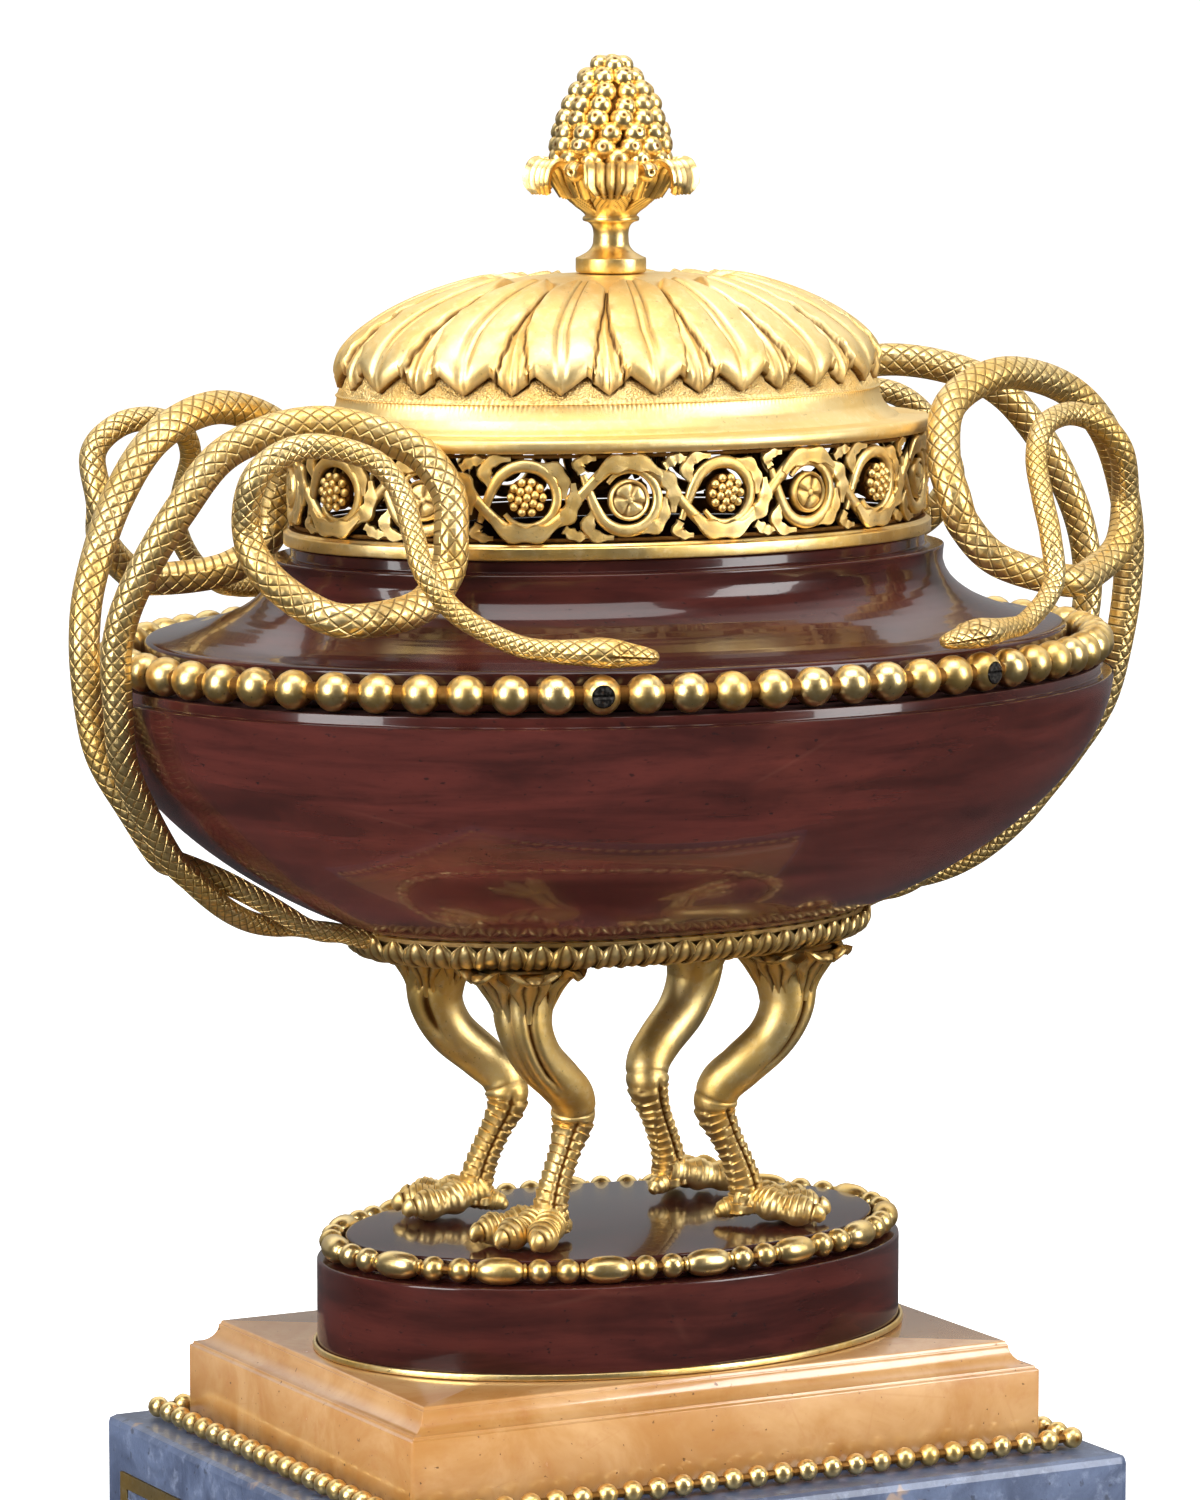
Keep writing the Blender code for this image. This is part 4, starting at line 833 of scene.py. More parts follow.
def backdrop():
    """A far round wall that stands behind the vase from every side and takes no part in its lighting."""
    reach = 0.98 * FLOOR_REACH
    count = 96
    angle = 2.0 * math.pi * np.arange(count) / count
    ring = np.column_stack((reach * np.cos(angle), reach * np.sin(angle))).tolist()
    points = [(x, y, z) for z in (-0.1, reach) for x, y in ring]
    after = [(i + 1) % count for i in range(count)]
    mesh = bpy.data.meshes.new("backdrop")
    mesh.from_pydata(points, [], [(i, i + count, after[i] + count, after[i]) for i in range(count)])
    mesh.materials.append(pale_stage("pale_backdrop", 1.3))
    wall = bpy.data.objects.new("backdrop", mesh)
    wall.visible_glossy = False
    wall.visible_diffuse = False
    wall.visible_shadow = False
    bpy.context.scene.collection.objects.link(wall)


def photo_camera():
    """The camera, where the photograph's proportions put it."""
    lens = bpy.data.cameras.new("photo_camera")
    lens.lens = CAMERA_LENS
    lens.sensor_width = 36.0
    camera = bpy.data.objects.new("photo_camera", lens)
    camera.location = CAMERA_PLACE
    camera.rotation_euler = (math.radians(90.0 - CAMERA_DOWN), 0.0, math.radians(CAMERA_TURN))
    bpy.context.scene.collection.objects.link(camera)
    bpy.context.scene.camera = camera


class VASE_OT_stage(bpy.types.Operator):
    """Floor, soft boxes, bright background and the camera"""

    bl_idname = "vase.stage"
    bl_label = "Stage"

    def execute(self, context):
        floor()
        backdrop()
        studio_air()
        for row in SOFT_BOXES:
            soft_box(*row)
        context.scene.view_settings.view_transform = "Standard"
        photo_camera()
        return {"FINISHED"}


class VASE_OT_stones(bpy.types.Operator):
    """Marble block, slab, plinth, bowl and shoulder"""

    bl_idname = "vase.stones"
    bl_label = "Stones"

    def execute(self, context):
        stone_block()
        stone_slab()
        stone_plinth()
        stone_bowl()
        stone_shoulder()
        return {"FINISHED"}


def stone_block():
    """The frame's own block, strips and screws, with their finishes."""
    for name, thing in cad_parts.items():
        if name == "blue_block":
            thing.data.materials.clear()
            thing.data.materials.append(blue_marble())
        elif name.startswith("panel_frame"):
            thing.data.materials.clear()
            thing.data.materials.append(gilt())
        elif name.startswith("belt_screw"):
            thing.data.materials.clear()
            thing.data.materials.append(dark_iron())


def stone_slab():
    """The slab: a profile of inset and height carried round a rectangle with nearly sharp corners.

    Above a small fillet the profile sweeps inward and up as a hollow quarter of an oval, and ends in
    another fillet.  Each ring's corners are rounded by what the inset leaves of the outer corner.
    """
    size = sizes()
    face_top = SLAB_TOP - size.slab_moulding
    turn = np.linspace(0.0, math.pi / 2.0, 14)
    fillet = 0.0011
    inward = size.slab_inset - 2 * fillet
    upward = size.slab_moulding - 2 * fillet
    cove_height = face_top + fillet + upward * (1.0 - np.cos(turn))
    cove = np.column_stack((fillet + inward * np.sin(turn), cove_height))
    corners = np.vstack((
        (0.0010, SLAB_BASE),
        (0.0, SLAB_BASE + 0.0008),
        (0.0, face_top),
        (fillet, face_top + 0.3 * fillet),
        cove,
        (size.slab_inset - 0.6 * fillet, SLAB_TOP - fillet),
        (size.slab_inset - 0.5 * fillet, SLAB_TOP - 0.0002),
        (size.slab_inset, SLAB_TOP),
    ))
    profile = rounded(corners, 0.00030, 2)
    inset = profile[:, 0:1, None]
    round_off = np.maximum(0.0012 - inset, 0.0002)
    turns = np.linspace(0.0, math.pi / 2.0, 5)
    angle = (turns[None, :] + np.arange(4)[:, None] * math.pi / 2.0).ravel()
    signs = np.repeat(np.array(((1, 1), (-1, 1), (-1, -1), (1, -1)), float), len(turns), axis=0)
    sides = np.array((half("siena_slab"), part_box("siena_slab")[1].y))
    outward = np.column_stack((np.cos(angle), np.sin(angle)))
    flat = signs * (sides - inset - round_off) + outward * round_off
    level = np.broadcast_to(profile[:, 1, None, None], flat.shape[:2] + (1,))
    grid = np.concatenate((flat, level), axis=-1)
    Skin().add(grid).piece("siena_slab_moulded", yellow_marble(), "yellow_marble", ["siena_slab"])


def stone_plinth():
    """The oval plinth with a raised table, turned, its edges worn round."""
    size = sizes()
    top = TABLE_TOP - size.table_rise
    table = PLINTH_SIDE - size.table_inset
    corners = (
        (0.0, TABLE_TOP),
        (table, TABLE_TOP),
        (table, top),
        (PLINTH_SIDE, top),
        (PLINTH_SIDE, PLINTH_BASE),
        (0.0, PLINTH_BASE),
    )
    grid = turned(rounded(corners, 0.0009, 4)[1:-1], 200, plinth_depth)
    Skin().add(grid).piece("oval_plinth_polished", red_marble(), "red_marble", ["oval_plinth"])
    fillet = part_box("plinth_foot_fillet")
    inside = PLINTH_SIDE + 0.0002
    ring = rounded((
        (inside, fillet[0].z),
        (inside, fillet[1].z),
        (fillet[1].x - 0.0002, fillet[1].z),
        (fillet[1].x, fillet[0].z + 0.0006),
        (fillet[1].x, fillet[0].z),
        (inside, fillet[0].z),
    ), 0.0004)
    skin = Skin().add(turned(ring[:-1], 200, plinth_depth), rows_wrap=True)
    skin.piece("foot_fillet_gilt", gilt(), "gilt_bronze", ["plinth_foot_fillet"])


def bowl_length(share):
    """The bowl's half length at a share of its depth: foot plus growth times (1-(1-s)^1.8)^(1/1.4)."""
    return BOWL_FOOT + (BOWL_RIM - BOWL_FOOT) * (1.0 - (1.0 - share) ** 1.8) ** (1.0 / 1.4)


def stone_bowl():
    """The hollow bowl: outside and inside walls of the same swelling profile, with a recessed ledge."""
    size = sizes()
    edge = BOWL_TOP - size.ledge_depth
    share = np.sin(np.linspace(0.0, math.pi / 2.0, 38)) ** 1.6
    outer = np.column_stack((bowl_length(share), BOWL_BASE + (edge - BOWL_BASE) * share))
    bottom = BOWL_BASE + BOWL_FLOOR
    growth = (bowl_length(share) - BOWL_FOOT) / (BOWL_RIM - BOWL_FOOT)
    within = BOWL_INNER_FOOT + (BOWL_RIM - BOWL_WALL - BOWL_INNER_FOOT) * growth
    inner = np.column_stack((within, bottom + (BOWL_TOP - bottom) * share))
    step = BOWL_RIM - size.ledge_width
    lip = rounded((
        outer[-2],
        (BOWL_RIM, edge - 0.0008),
        (BOWL_RIM - 0.0006, edge),
        (step, edge),
        (step, BOWL_TOP),
        (inner[-1][0], BOWL_TOP),
        inner[-2],
    ), 0.0005)
    profile = np.vstack((outer[:-1], lip[1:-1], inner[:-1][::-1]))
    # the inside wall is marked for painted shade in the red marble
    inside = (np.arange(len(profile)) > len(outer) + 12)[:, None].astype(float)
    skin = Skin().add(turned(profile, 256, vessel_depth), inside)
    skin.piece("bowl_polished", red_marble(), "red_marble", ["bowl"])


def stone_shoulder():
    """The shoulder: a rim, a hollow sweep up to a rounded collar, the seat, and the open inside."""
    sweep = smooth_curve((
        (SHOULDER_RIM - 0.0010, SHOULDER_BASE + 0.0112),
        (0.1300, 0.2976),
        (0.1210, 0.3005),
        (0.1135, 0.3038),
        (0.1072, 0.3085),
        (0.1042, 0.3135),
        (0.1042, 0.3176),
    ), 16, 2)
    seat = GALLERY_SIDE - 0.0020
    corners = np.vstack((
        (SHOULDER_RIM - 0.0150, SHOULDER_BASE),
        (SHOULDER_RIM, SHOULDER_BASE),
        (SHOULDER_RIM, SHOULDER_BASE + 0.0104),
        sweep,
        (0.1045, 0.3192),
        (seat, 0.3192),
        (seat, SEAT_TOP),
        (seat - 0.0075, SEAT_TOP),
        (0.0910, 0.3154),
        (0.1015, 0.3037),
        (SHOULDER_RIM - 0.0195, 0.2920),
        (SHOULDER_RIM - 0.0150, SHOULDER_BASE),
    ))
    profile = rounded(corners, 0.0007)[:-1]
    top = np.argmax(profile[:, 1])
    # the inside is marked for painted shade in the red marble
    inside = (np.arange(len(profile)) >= top)[:, None].astype(float)
    skin = Skin().add(turned(profile, 256, vessel_depth), inside, rows_wrap=True)
    skin.piece("shoulder_polished", red_marble(), "red_marble", ["shoulder"])


class VASE_OT_beads(bpy.types.Operator):
    """Belt of beads, string of olives and beads, and the string on the block"""

    bl_idname = "vase.beads"
    bl_label = "Beads"

    def execute(self, context):
        belt_beads()
        olive_string()
        block_beads()
        return {"FINISHED"}


def bar_along(skin, route, radius, columns=10, closed=True):
    """A thin round bar along a route of points."""
    if closed:
        tangent = unit(np.roll(route, -1, axis=0) - np.roll(route, 1, axis=0))
    else:
        tangent = unit(np.gradient(route, axis=0))
    upper = np.array((0.0, 0.0, 1.0))
    side = unit(np.cross(tangent, upper))
    angle = 2.0 * math.pi * np.arange(columns)[None, :, None] / columns
    grid = route[:, None] + radius * (side[:, None] * np.cos(angle) + upper * np.sin(angle))
    # painted shade: the whole bar, which lies behind the beads, is marked as recess so its gilding is
    # darkened
    skin.add(grid, 0.75, rows_wrap=closed)


def ring_points(half_length, half_depth, shares, height):
    """Points on an oval at one height and the directions along it."""
    flat, outward = on_oval(half_length, half_depth, shares)
    level = np.full((len(flat), 1), height)
    along = np.column_stack((-outward[:, 1], outward[:, 0], np.zeros(len(flat))))
    return np.hstack((flat, level)), along


def belt_beads():
    """Large round beads on a thin bar, evenly spaced round the vessel."""
    size = sizes()
    radius = size.belt_bead / 2.0
    half_length = half("belt_bead_ring") - radius
    half_depth = half_length - VESSEL_DIFFERENCE
    skin = Skin()
    shares = np.arange(size.belt_count) / size.belt_count
    centres, along = ring_points(half_length, half_depth, shares, BELT_HEIGHT)
    boxes = [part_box(name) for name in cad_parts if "screw" in name]
    screws = np.array([np.array(box[0] + box[1]) / 2 for box in boxes])
    holds = np.linalg.norm(centres[:, None] - screws[None], axis=2).min(axis=1) < 2.0 * radius
    plain = ~holds
    beads(skin, centres[plain], along[plain], radius, radius, 15, 20)
    drilled_beads(skin, centres[holds], along[holds], radius)
    route, _ = ring_points(half_length, half_depth, np.arange(272) / 272, BELT_HEIGHT)
    bar_along(skin, route, 0.0026)
    skin.piece("belt_beads_gilt", gilt(), "gilt_bronze", ["belt_bead_ring"])


def drilled_beads(skin, centres, along, radius):
    """Beads with a round seat in front: rings about the outward axis, the front ones sunk."""
    angle = 2.0 * math.pi * np.arange(28) / 28
    turn = np.linspace(0.97 * math.pi, 0.195 * math.pi, 18)
    seat = 0.0033
    rings = np.vstack((
        np.column_stack((radius * np.sin(turn), radius * np.cos(turn))),
        ((seat, radius * 0.80), (seat, radius * 0.42), (0.0004, radius * 0.42)),
    ))
    # painted shade in the sunk seats: their rings are marked as recess
    recess = np.broadcast_to(np.r_[np.zeros(18), 0.6, 1.0, 1.0][:, None], (21, 28))
    upper = np.array((0.0, 0.0, 1.0))
    for centre, direction in zip(centres, along):
        outward = np.cross(direction, upper)
        ring = direction * np.cos(angle)[:, None] + upper * np.sin(angle)[:, None]
        skin.add(centre + ring[None] * rings[:, 0, None, None] + outward * rings[:, 1, None, None], recess)


def olive_string():
    """Olives with two round beads between them, on a thin bar round the plinth."""
    size = sizes()
    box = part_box("plinth_bead_ring")
    radius = (box[1].z - box[0].z) / 2.0
    half_length = box[1].x - radius
    half_depth = half_length - PLINTH_DIFFERENCE
    height = box[0].z + radius
    count = size.olive_count
    skin = Skin()
    turns = np.arange(count)
    centres, along = ring_points(half_length, half_depth, (turns + 0.24) / count, height)
    beads(skin, centres, along, 0.0074, radius, 19, 22, 2.6)
    for place in (0.61, 0.87):
        centres, along = ring_points(half_length, half_depth, (turns + place) / count, height)
        beads(skin, centres, along, 0.00355, 0.0036, 13, 20)
    for place in (0.005, 0.475):
        centres, along = ring_points(half_length, half_depth, (turns + place) / count, height)
        beads(skin, centres, along, 0.0009, 0.0023, 7, 14)
    route, _ = ring_points(half_length, half_depth, np.arange(180) / 180, height)
    bar_along(skin, route, 0.0015, 8)
    skin.piece("olive_string_gilt", gilt(), "gilt_bronze", ["plinth_bead_ring"])


def block_beads():
    """Small beads in a rectangle round the slab, one on each corner, on a thin bar."""
    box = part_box("block_bead_moulding")
    radius = (box[1].z - box[0].z) / 2.0
    side = np.array((box[1].x - radius, box[1].y - radius))
    height = box[0].z + radius
    corners = np.array(((1, -1), (1, 1), (-1, 1), (-1, -1), (1, -1))) * side
    skin = Skin()
    for number, count in enumerate((20, 27, 20, 27)):
        start, stop = corners[number], corners[number + 1]
        share = np.arange(count)[:, None] / count
        flat = start + (stop - start) * share
        centres = np.column_stack((flat, np.full(count, height)))
        along = np.append(unit(stop - start), 0.0)
        beads(skin, centres, np.broadcast_to(along, centres.shape), radius, radius, 9, 14)
        ends = np.column_stack((np.vstack((start, stop)), (height, height)))
        bar_along(skin, ends, 0.0013, 8, closed=False)
    skin.piece("block_beads_gilt", gilt(), "gilt_bronze", ["block_bead_moulding"])


class VASE_OT_serpents(bpy.types.Operator):
    """Four gilt serpents"""

    bl_idname = "vase.serpents"
    bl_label = "Serpents"

    def execute(self, context):
        for side_x in (-1, 1):
            for side_y in (-1, 1):
                serpent(side_x, side_y)
        return {"FINISHED"}


def corner_name(side_x, side_y):
    """The name of the corner that a leg or a serpent stands at."""
    return ("back" if side_y > 0 else "front") + "_" + ("right" if side_x > 0 else "left")


def serpent_route(side_x, side_y):
    """The serpent's middle line and radius: a twisted tail, the loops and the head.

    The tail's height and distance from the middle plane are half a turn of the two strands round each
    other, after a straight stretch that starts among the cup's leaves.
    """
    right = 1.0 if side_x > 0 else 0.0
    rows = np.array(SERPENT_ROUTE)
    body = np.column_stack((
        BOWL_RIM + rows[:, 0] + right * rows[:, 4],
        side_y * rows[:, 1],
        BELT_HEIGHT + rows[:, 2] + right * rows[:, 5],
        rows[:, 3],
    ))
    share = np.linspace(0.0, 1.0, 9, endpoint=False)
    thick = TAIL_RADIUS + (body[0, 3] - TAIL_RADIUS) * share
    level = TAIL_BASE + (body[0, 2] - TAIL_BASE) * share**TAIL_RISE - TAIL_SAG * np.sin(math.pi * share)
    angle = math.pi * (1.0 - np.clip((share - TAIL_STRAIGHT) / (1.0 - TAIL_STRAIGHT), 0.0, 1.0))
    reach = TAIL_APART * thick + (rows[0, 1] - TAIL_APART * rows[0, 3]) * share
    tail = np.column_stack((
        TAIL_START + (body[0, 0] - TAIL_START) * share,
        side_y * np.cos(angle) * reach,
        level + side_y * np.sin(angle) * reach,
        thick,
    ))
    start = tail[0]
    root = [start + (-step, 0.0, -0.30 * step, 0.04 * step) for step in (0.0120, 0.0060)]
    route = smooth_curve(np.vstack((root, tail, body)), 720)
    route[:, 0] *= side_x
    return route


def head_relief(left, angle):
    """How far the head's surface moves outward, and how deep in a furrow each point lies.

    Left is the way to the snout.  The eyes and brows are hills; the sockets, the mouth, the nostrils
    and the line along the crown are furrows, each e to the minus square of a distance over its width.
    """
    upper = np.sin(angle)
    from_side = np.abs(np.cos(angle))
    eye_way = (left - 0.0100) / 0.0016
    eye_side = (np.arcsin(np.clip(upper, -1, 1)) - 0.62) / 0.30
    eye = np.exp(-(eye_way**2 + eye_side**2) ** 2)
    socket = np.exp(-((np.sqrt(eye_way**2 + eye_side**2) - 1.35) / 0.35) ** 2)
    brow = np.exp(-(((left - 0.0105) / 0.0030) ** 2 + ((upper - 0.86) / 0.16) ** 2)) * from_side
    gape = soft_step(left, 0.0165, 0.0135) * soft_step(left, 0.0, 0.0006)
    mouth = hill(upper + 0.18, 0.10) * gape
    nostril = np.exp(-(((left - 0.0022) / 0.0006) ** 2 + ((upper - 0.45) / 0.16) ** 2))
    crown = hill(np.cos(angle), 0.16) * soft_step(upper, 0.0, 0.6) * soft_step(left, 0.021, 0.012)
    raised = 0.00055 * eye + 0.00050 * brow
    sunk = 0.00030 * socket + 0.00045 * mouth + 0.00030 * nostril + 0.0002 * crown
    return raised - sunk, np.clip(0.9 * mouth + 0.7 * socket + 0.9 * nostril + 0.25 * crown, 0.0, 1.0)


def serpent(side_x, side_y):
    """A round body carried along the route, whose last part swells into a flat-topped head.

    The radius follows the route; the head's half width and half height are read from its own table
    over the way to the snout.  The scales' count along the body is the way over a scale's length.
    """
    route = serpent_route(side_x, side_y)
    points, radius = route[:, :3], route[:, 3] * 0.97
    way = np.concatenate(([0.0], np.cumsum(np.linalg.norm(np.diff(points, axis=0), axis=1))))
    left = way[-1] - way
    columns = 36
    angle = 2.0 * math.pi * np.arange(columns)[None, :] / columns
    knot = np.array((side_x * LOOP_MIDDLE[0], side_y * LOOP_MIDDLE[1], LOOP_MIDDLE[2]))
    lying = soft_step(left, 0.075, 0.035)[:, None]
    upward = unit(points - knot) * (1.0 - lying) + np.array((0.0, 0.0, 1.0)) * lying
    head = soft_step(left, 0.030, 0.020)
    shape = smooth_curve(SERPENT_HEAD, 200, 1)
    across = radius * (1.0 - head) + np.interp(left, shape[:, 0], shape[:, 1]) * head
    height = radius * (1.0 - head) + np.interp(left, shape[:, 0], shape[:, 2]) * head
    move, furrow = head_relief(left[:, None], angle)
    grid = swept(points, upward, across[:, None] + move, height[:, None] + move, columns)
    scale_length = 1.05 * 2.0 * math.pi * (radius[1:] + radius[:-1]) / 2.0 / SCALES_ROUND
    rings = np.concatenate(([0.0], np.cumsum(np.diff(way) / scale_length)))
    wrap = np.stack(np.broadcast_arrays(np.cos(angle), np.sin(angle), rings[:, None]), axis=-1)
    name = "serpent_" + corner_name(side_x, side_y)
    # painted shade in the mouth, eye sockets, nostrils and crown line: the furrows are the recess
    skin = Skin().add(grid, furrow * head[:, None], wrap)
    skin.piece(name + "_scaled", scaly_gilt(), "gilt_bronze", [name])


class VASE_OT_ring(bpy.types.Operator):
    """Plain moulded ring under the gallery"""

    bl_idname = "vase.ring"
    bl_label = "Gallery ring"

    def execute(self, context):
        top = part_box("gallery_base_ring")[1].z
        side = GALLERY_SIDE
        corners = (
            (side - 0.0055, GALLERY_BASE),
            (side - 0.0055, top),
            (side - 0.0014, top),
            (side - 0.0010, top - 0.0008),
            (side, top - 0.0010),
            (side, GALLERY_BASE),
            (side - 0.0055, GALLERY_BASE),
        )
        profile = rounded(corners, 0.0005)[:-1]
        # painted shade on the ring's inner part, marked as recess
        inside = soft_step(profile[:, 0:1], side - 0.0012, side - 0.0020)
        skin = Skin().add(turned(profile, 256, vessel_depth), inside, rows_wrap=True)
        skin.piece("gallery_ring_gilt", gilt(), "gilt_bronze", ["gallery_base_ring"])
        return {"FINISHED"}


class Band:
    """The upright oval band of the gallery: way along it, height over its middle, distance outward."""

    def __init__(self, inset):
        self.half_length = GALLERY_SIDE - inset
        self.half_depth = self.half_length - VESSEL_DIFFERENCE
        self.length = oval_length(self.half_length, self.half_depth)
        self.middle = (SCROLL_BASE + SCROLL_TOP) / 2.0
        self.half_height = (SCROLL_TOP - SCROLL_BASE) / 2.0

    def bent(self, along, up, out):
        """The points of the band bent round the oval."""
        flat, _ = on_oval(self.half_length, self.half_depth, along / self.length, out)
        return np.concatenate((flat, (self.middle + up)[..., None]), axis=-1)

    def stem(self, skin, path, half_width, half_depth, lift, groove, columns=10):
        """A stem in the band: an oval carried along a flat path, with a furrow along its face.

        Across the path it is the half width times the cosine; outward it is the lift plus the half depth
        times the sine, less the furrow, which is a hill round the middle of the front.
        """
        tangent = unit(np.gradient(path[:, :2], axis=0))
        across = np.column_stack((-tangent[:, 1], tangent[:, 0]))
        angle = 2.0 * math.pi * np.arange(columns)[None, :] / columns
        side = half_width[:, None] * np.cos(angle)
        furrow = groove * hill(np.cos(angle), 0.35) * (np.sin(angle) > 0.0)
        out = lift + half_depth[:, None] * np.sin(angle) - furrow * half_depth[:, None]
        flat = path[:, None, :2] + across[:, None] * side[..., None]
        # painted shade: the back of each stem and its furrow are marked as recess, which darkens the
        # gilding
        dark = np.clip(0.75 * soft_step(-np.sin(angle), -0.25, 0.6) + furrow * 0.9, 0.0, 1.0)
        skin.add(self.bent(flat[..., 0], flat[..., 1], out), np.broadcast_to(dark, out.shape))


def scroll_coil():
    """The coil, in millimetres from the blossom's middle: along, up and half width.

    It leaves the wave at the upper left and winds once round the blossom, its radius shrinking evenly.
    """
    turn = np.radians(np.linspace(200.0, 505.0, 14))
    radius = np.linspace(9.9, 7.4, 14)
    girths = np.interp(turn, np.radians((200.0, 270.0, 400.0, 505.0)), (1.6, 1.9, 1.3, 0.7))
    coil = np.column_stack((radius * np.cos(turn), radius * np.sin(turn), girths))
    return np.vstack(((-13.2, 6.6, 0.9), (-11.4, 1.6, 1.3), coil))


def scroll_unit(skin, band, middle, rise):
    """One length of the scroll: the wave, a coil that winds in from it, leaves and a blossom.

    The wave's height is a cosine; up is turned over in every other length.
    """
    pitch = band.length / sizes().scroll_count

    def place(rows, count):
        path = smooth_curve(np.array(rows) * 0.001, count, 2)
        return np.column_stack((middle + path[:, 0], rise * path[:, 1], path[:, 2:]))

    way = np.linspace(-0.5, 0.5, 34)
    climb = (band.half_height - 0.0021) * np.cos(math.pi * way)
    main = np.column_stack((middle + way * pitch, rise * climb))
    girth = 0.0016 + 0.0005 * hill(way, 0.22)
    band.stem(skin, main, girth, girth * 0.95 + 0.0003, 0.0003, 0.45)
    ring = place(scroll_coil(), 64)
    band.stem(skin, ring, ring[:, 2], ring[:, 2] * 1.15, 0.0002, 0.50)
    for rows, lift in SCROLL_LEAVES:
        path = place(rows, 17)
        lobes = 1.0 + 0.20 * wave(np.linspace(0.1, 2.9, 17))
        girth = path[:, 2] * lobes
        band.stem(skin, path, girth, 0.42 * girth + 0.0006, lift, 0.75)
    if rise > 0.0:
        blossom(skin, band, middle, -0.0006 * rise)
    else:
        berry_cluster(skin, band, middle, -0.0006 * rise)


def blossom(skin, band, middle, level):
    """A flower in a dish: a raised rim round four petals, parted by a cross of furrows, and a boss."""
    reach = sizes().blossom / 2.0
    rows, columns = 15, 32
    share = np.sin(np.linspace(0.02, 0.5, rows) * math.pi)[:, None]
    angle = 2.0 * math.pi * np.arange(columns)[None, :] / columns
    radius = reach * share + 0.0 * angle
    rim = hill(share - 0.90, 0.09)
    petal = np.sqrt(np.maximum(1.0 - ((share - 0.45) / 0.34) ** 2, 0.0))
    inner = soft_step(share, 0.12, 0.30) * (1.0 - soft_step(share, 0.74, 0.82))
    cross = hill(np.sin(2.0 * angle + 0.6), 0.28) * inner
    boss = hill(share, 0.16)
    out = 0.0010 + 0.0009 * rim + 0.0009 * petal + 0.0012 * boss - 0.0010 * cross
    # painted shade in the furrows, the gaps round the petals and on the back, marked as recess
    gaps = 0.8 * hill(share - 0.79, 0.05) + 0.7 * hill(share - 0.20, 0.05)
    recess = np.clip(0.9 * cross + gaps, 0.0, 1.0)
    face = band.bent(middle + radius * np.cos(angle), level + radius * np.sin(angle), out)
    edge = radius[-1:]
    back = band.bent(middle + edge * np.cos(angle), level + edge * np.sin(angle), edge * 0.0 - 0.0012)
    skin.add(np.vstack((face, back)), np.vstack((recess, np.full((1, columns), 0.8))))


def berry_cluster(skin, band, middle, level):
    """A knob of small berries: one in the middle and two rings round it on a low dome."""
    reach = sizes().blossom / 2.0
    places = [(0.0, 0.0)]
    for count, share, start in ((6, 0.46, 0.3), (10, 0.86, 0.0)):
        turn = start + 2.0 * math.pi * np.arange(count) / count
        places += list(zip(share * np.cos(turn), share * np.sin(turn)))
    places = np.array(places) * (reach - 0.0008)
    far = np.linalg.norm(places, axis=1) / reach
    out = 0.0012 + 0.0016 * (1.0 - far**2)
    centres = band.bent(middle + places[:, 0], level + places[:, 1], out)
    small_balls(skin, centres, np.full(len(centres), 0.00125), 8, 7)
    rows, columns = 6, 20
    share = np.linspace(0.05, 1.0, rows)[:, None]
    angle = 2.0 * math.pi * np.arange(columns)[None, :] / columns
    radius = (reach - 0.0006) * share
    plate = 0.0006 + 0.0016 * (1.0 - share**2) + 0.0 * angle
    face = band.bent(middle + radius * np.cos(angle), level + radius * np.sin(angle), plate)
    edge = radius[-1:]
    back = band.bent(middle + edge * np.cos(angle), level + edge * np.sin(angle), plate[-1:] - 0.0018)
    # painted shade: the plate under the berries is marked as recess
    skin.add(np.vstack((face, back)), 0.9)


def small_balls(skin, centres, radii, rows, columns, aim=None, hole=0.0):
    """Small balls, made of rings about the upright or the given axes, all points worked out at once.

    With a hole, the distance from the middle is the radius times 1 - hole times a narrow hill round the
    pole that the axis points to.
    """
    share = np.linspace(0.02, 0.97, rows)
    polar = math.pi * (share**1.6 if hole else share)
    dip = hill(polar, 0.22) if hole else 0.0 * polar
    distance = 1.0 - hole * dip
    angle = 2.0 * math.pi * np.arange(columns) / columns
    aim = np.broadcast_to((0.0, 0.0, 1.0), centres.shape) if aim is None else unit(aim)
    other = unit(np.cross(aim, (0.31, 0.22, 0.17)))
    third = np.cross(aim, other)
    turned_other = other[:, None, None] * np.cos(angle)[None, None, :, None]
    turned_third = third[:, None, None] * np.sin(angle)[None, None, :, None]
    ring = (turned_other + turned_third) * (distance * np.sin(polar))[None, :, None, None]
    rise = aim[:, None, None] * (distance * np.cos(polar))[None, :, None, None]
    grids = centres[:, None, None] + radii[:, None, None, None] * (ring + rise)
    for grid in grids:
        # painted shade in the drilled hole: its dip is the recess
        skin.add(grid, dip[:, None])


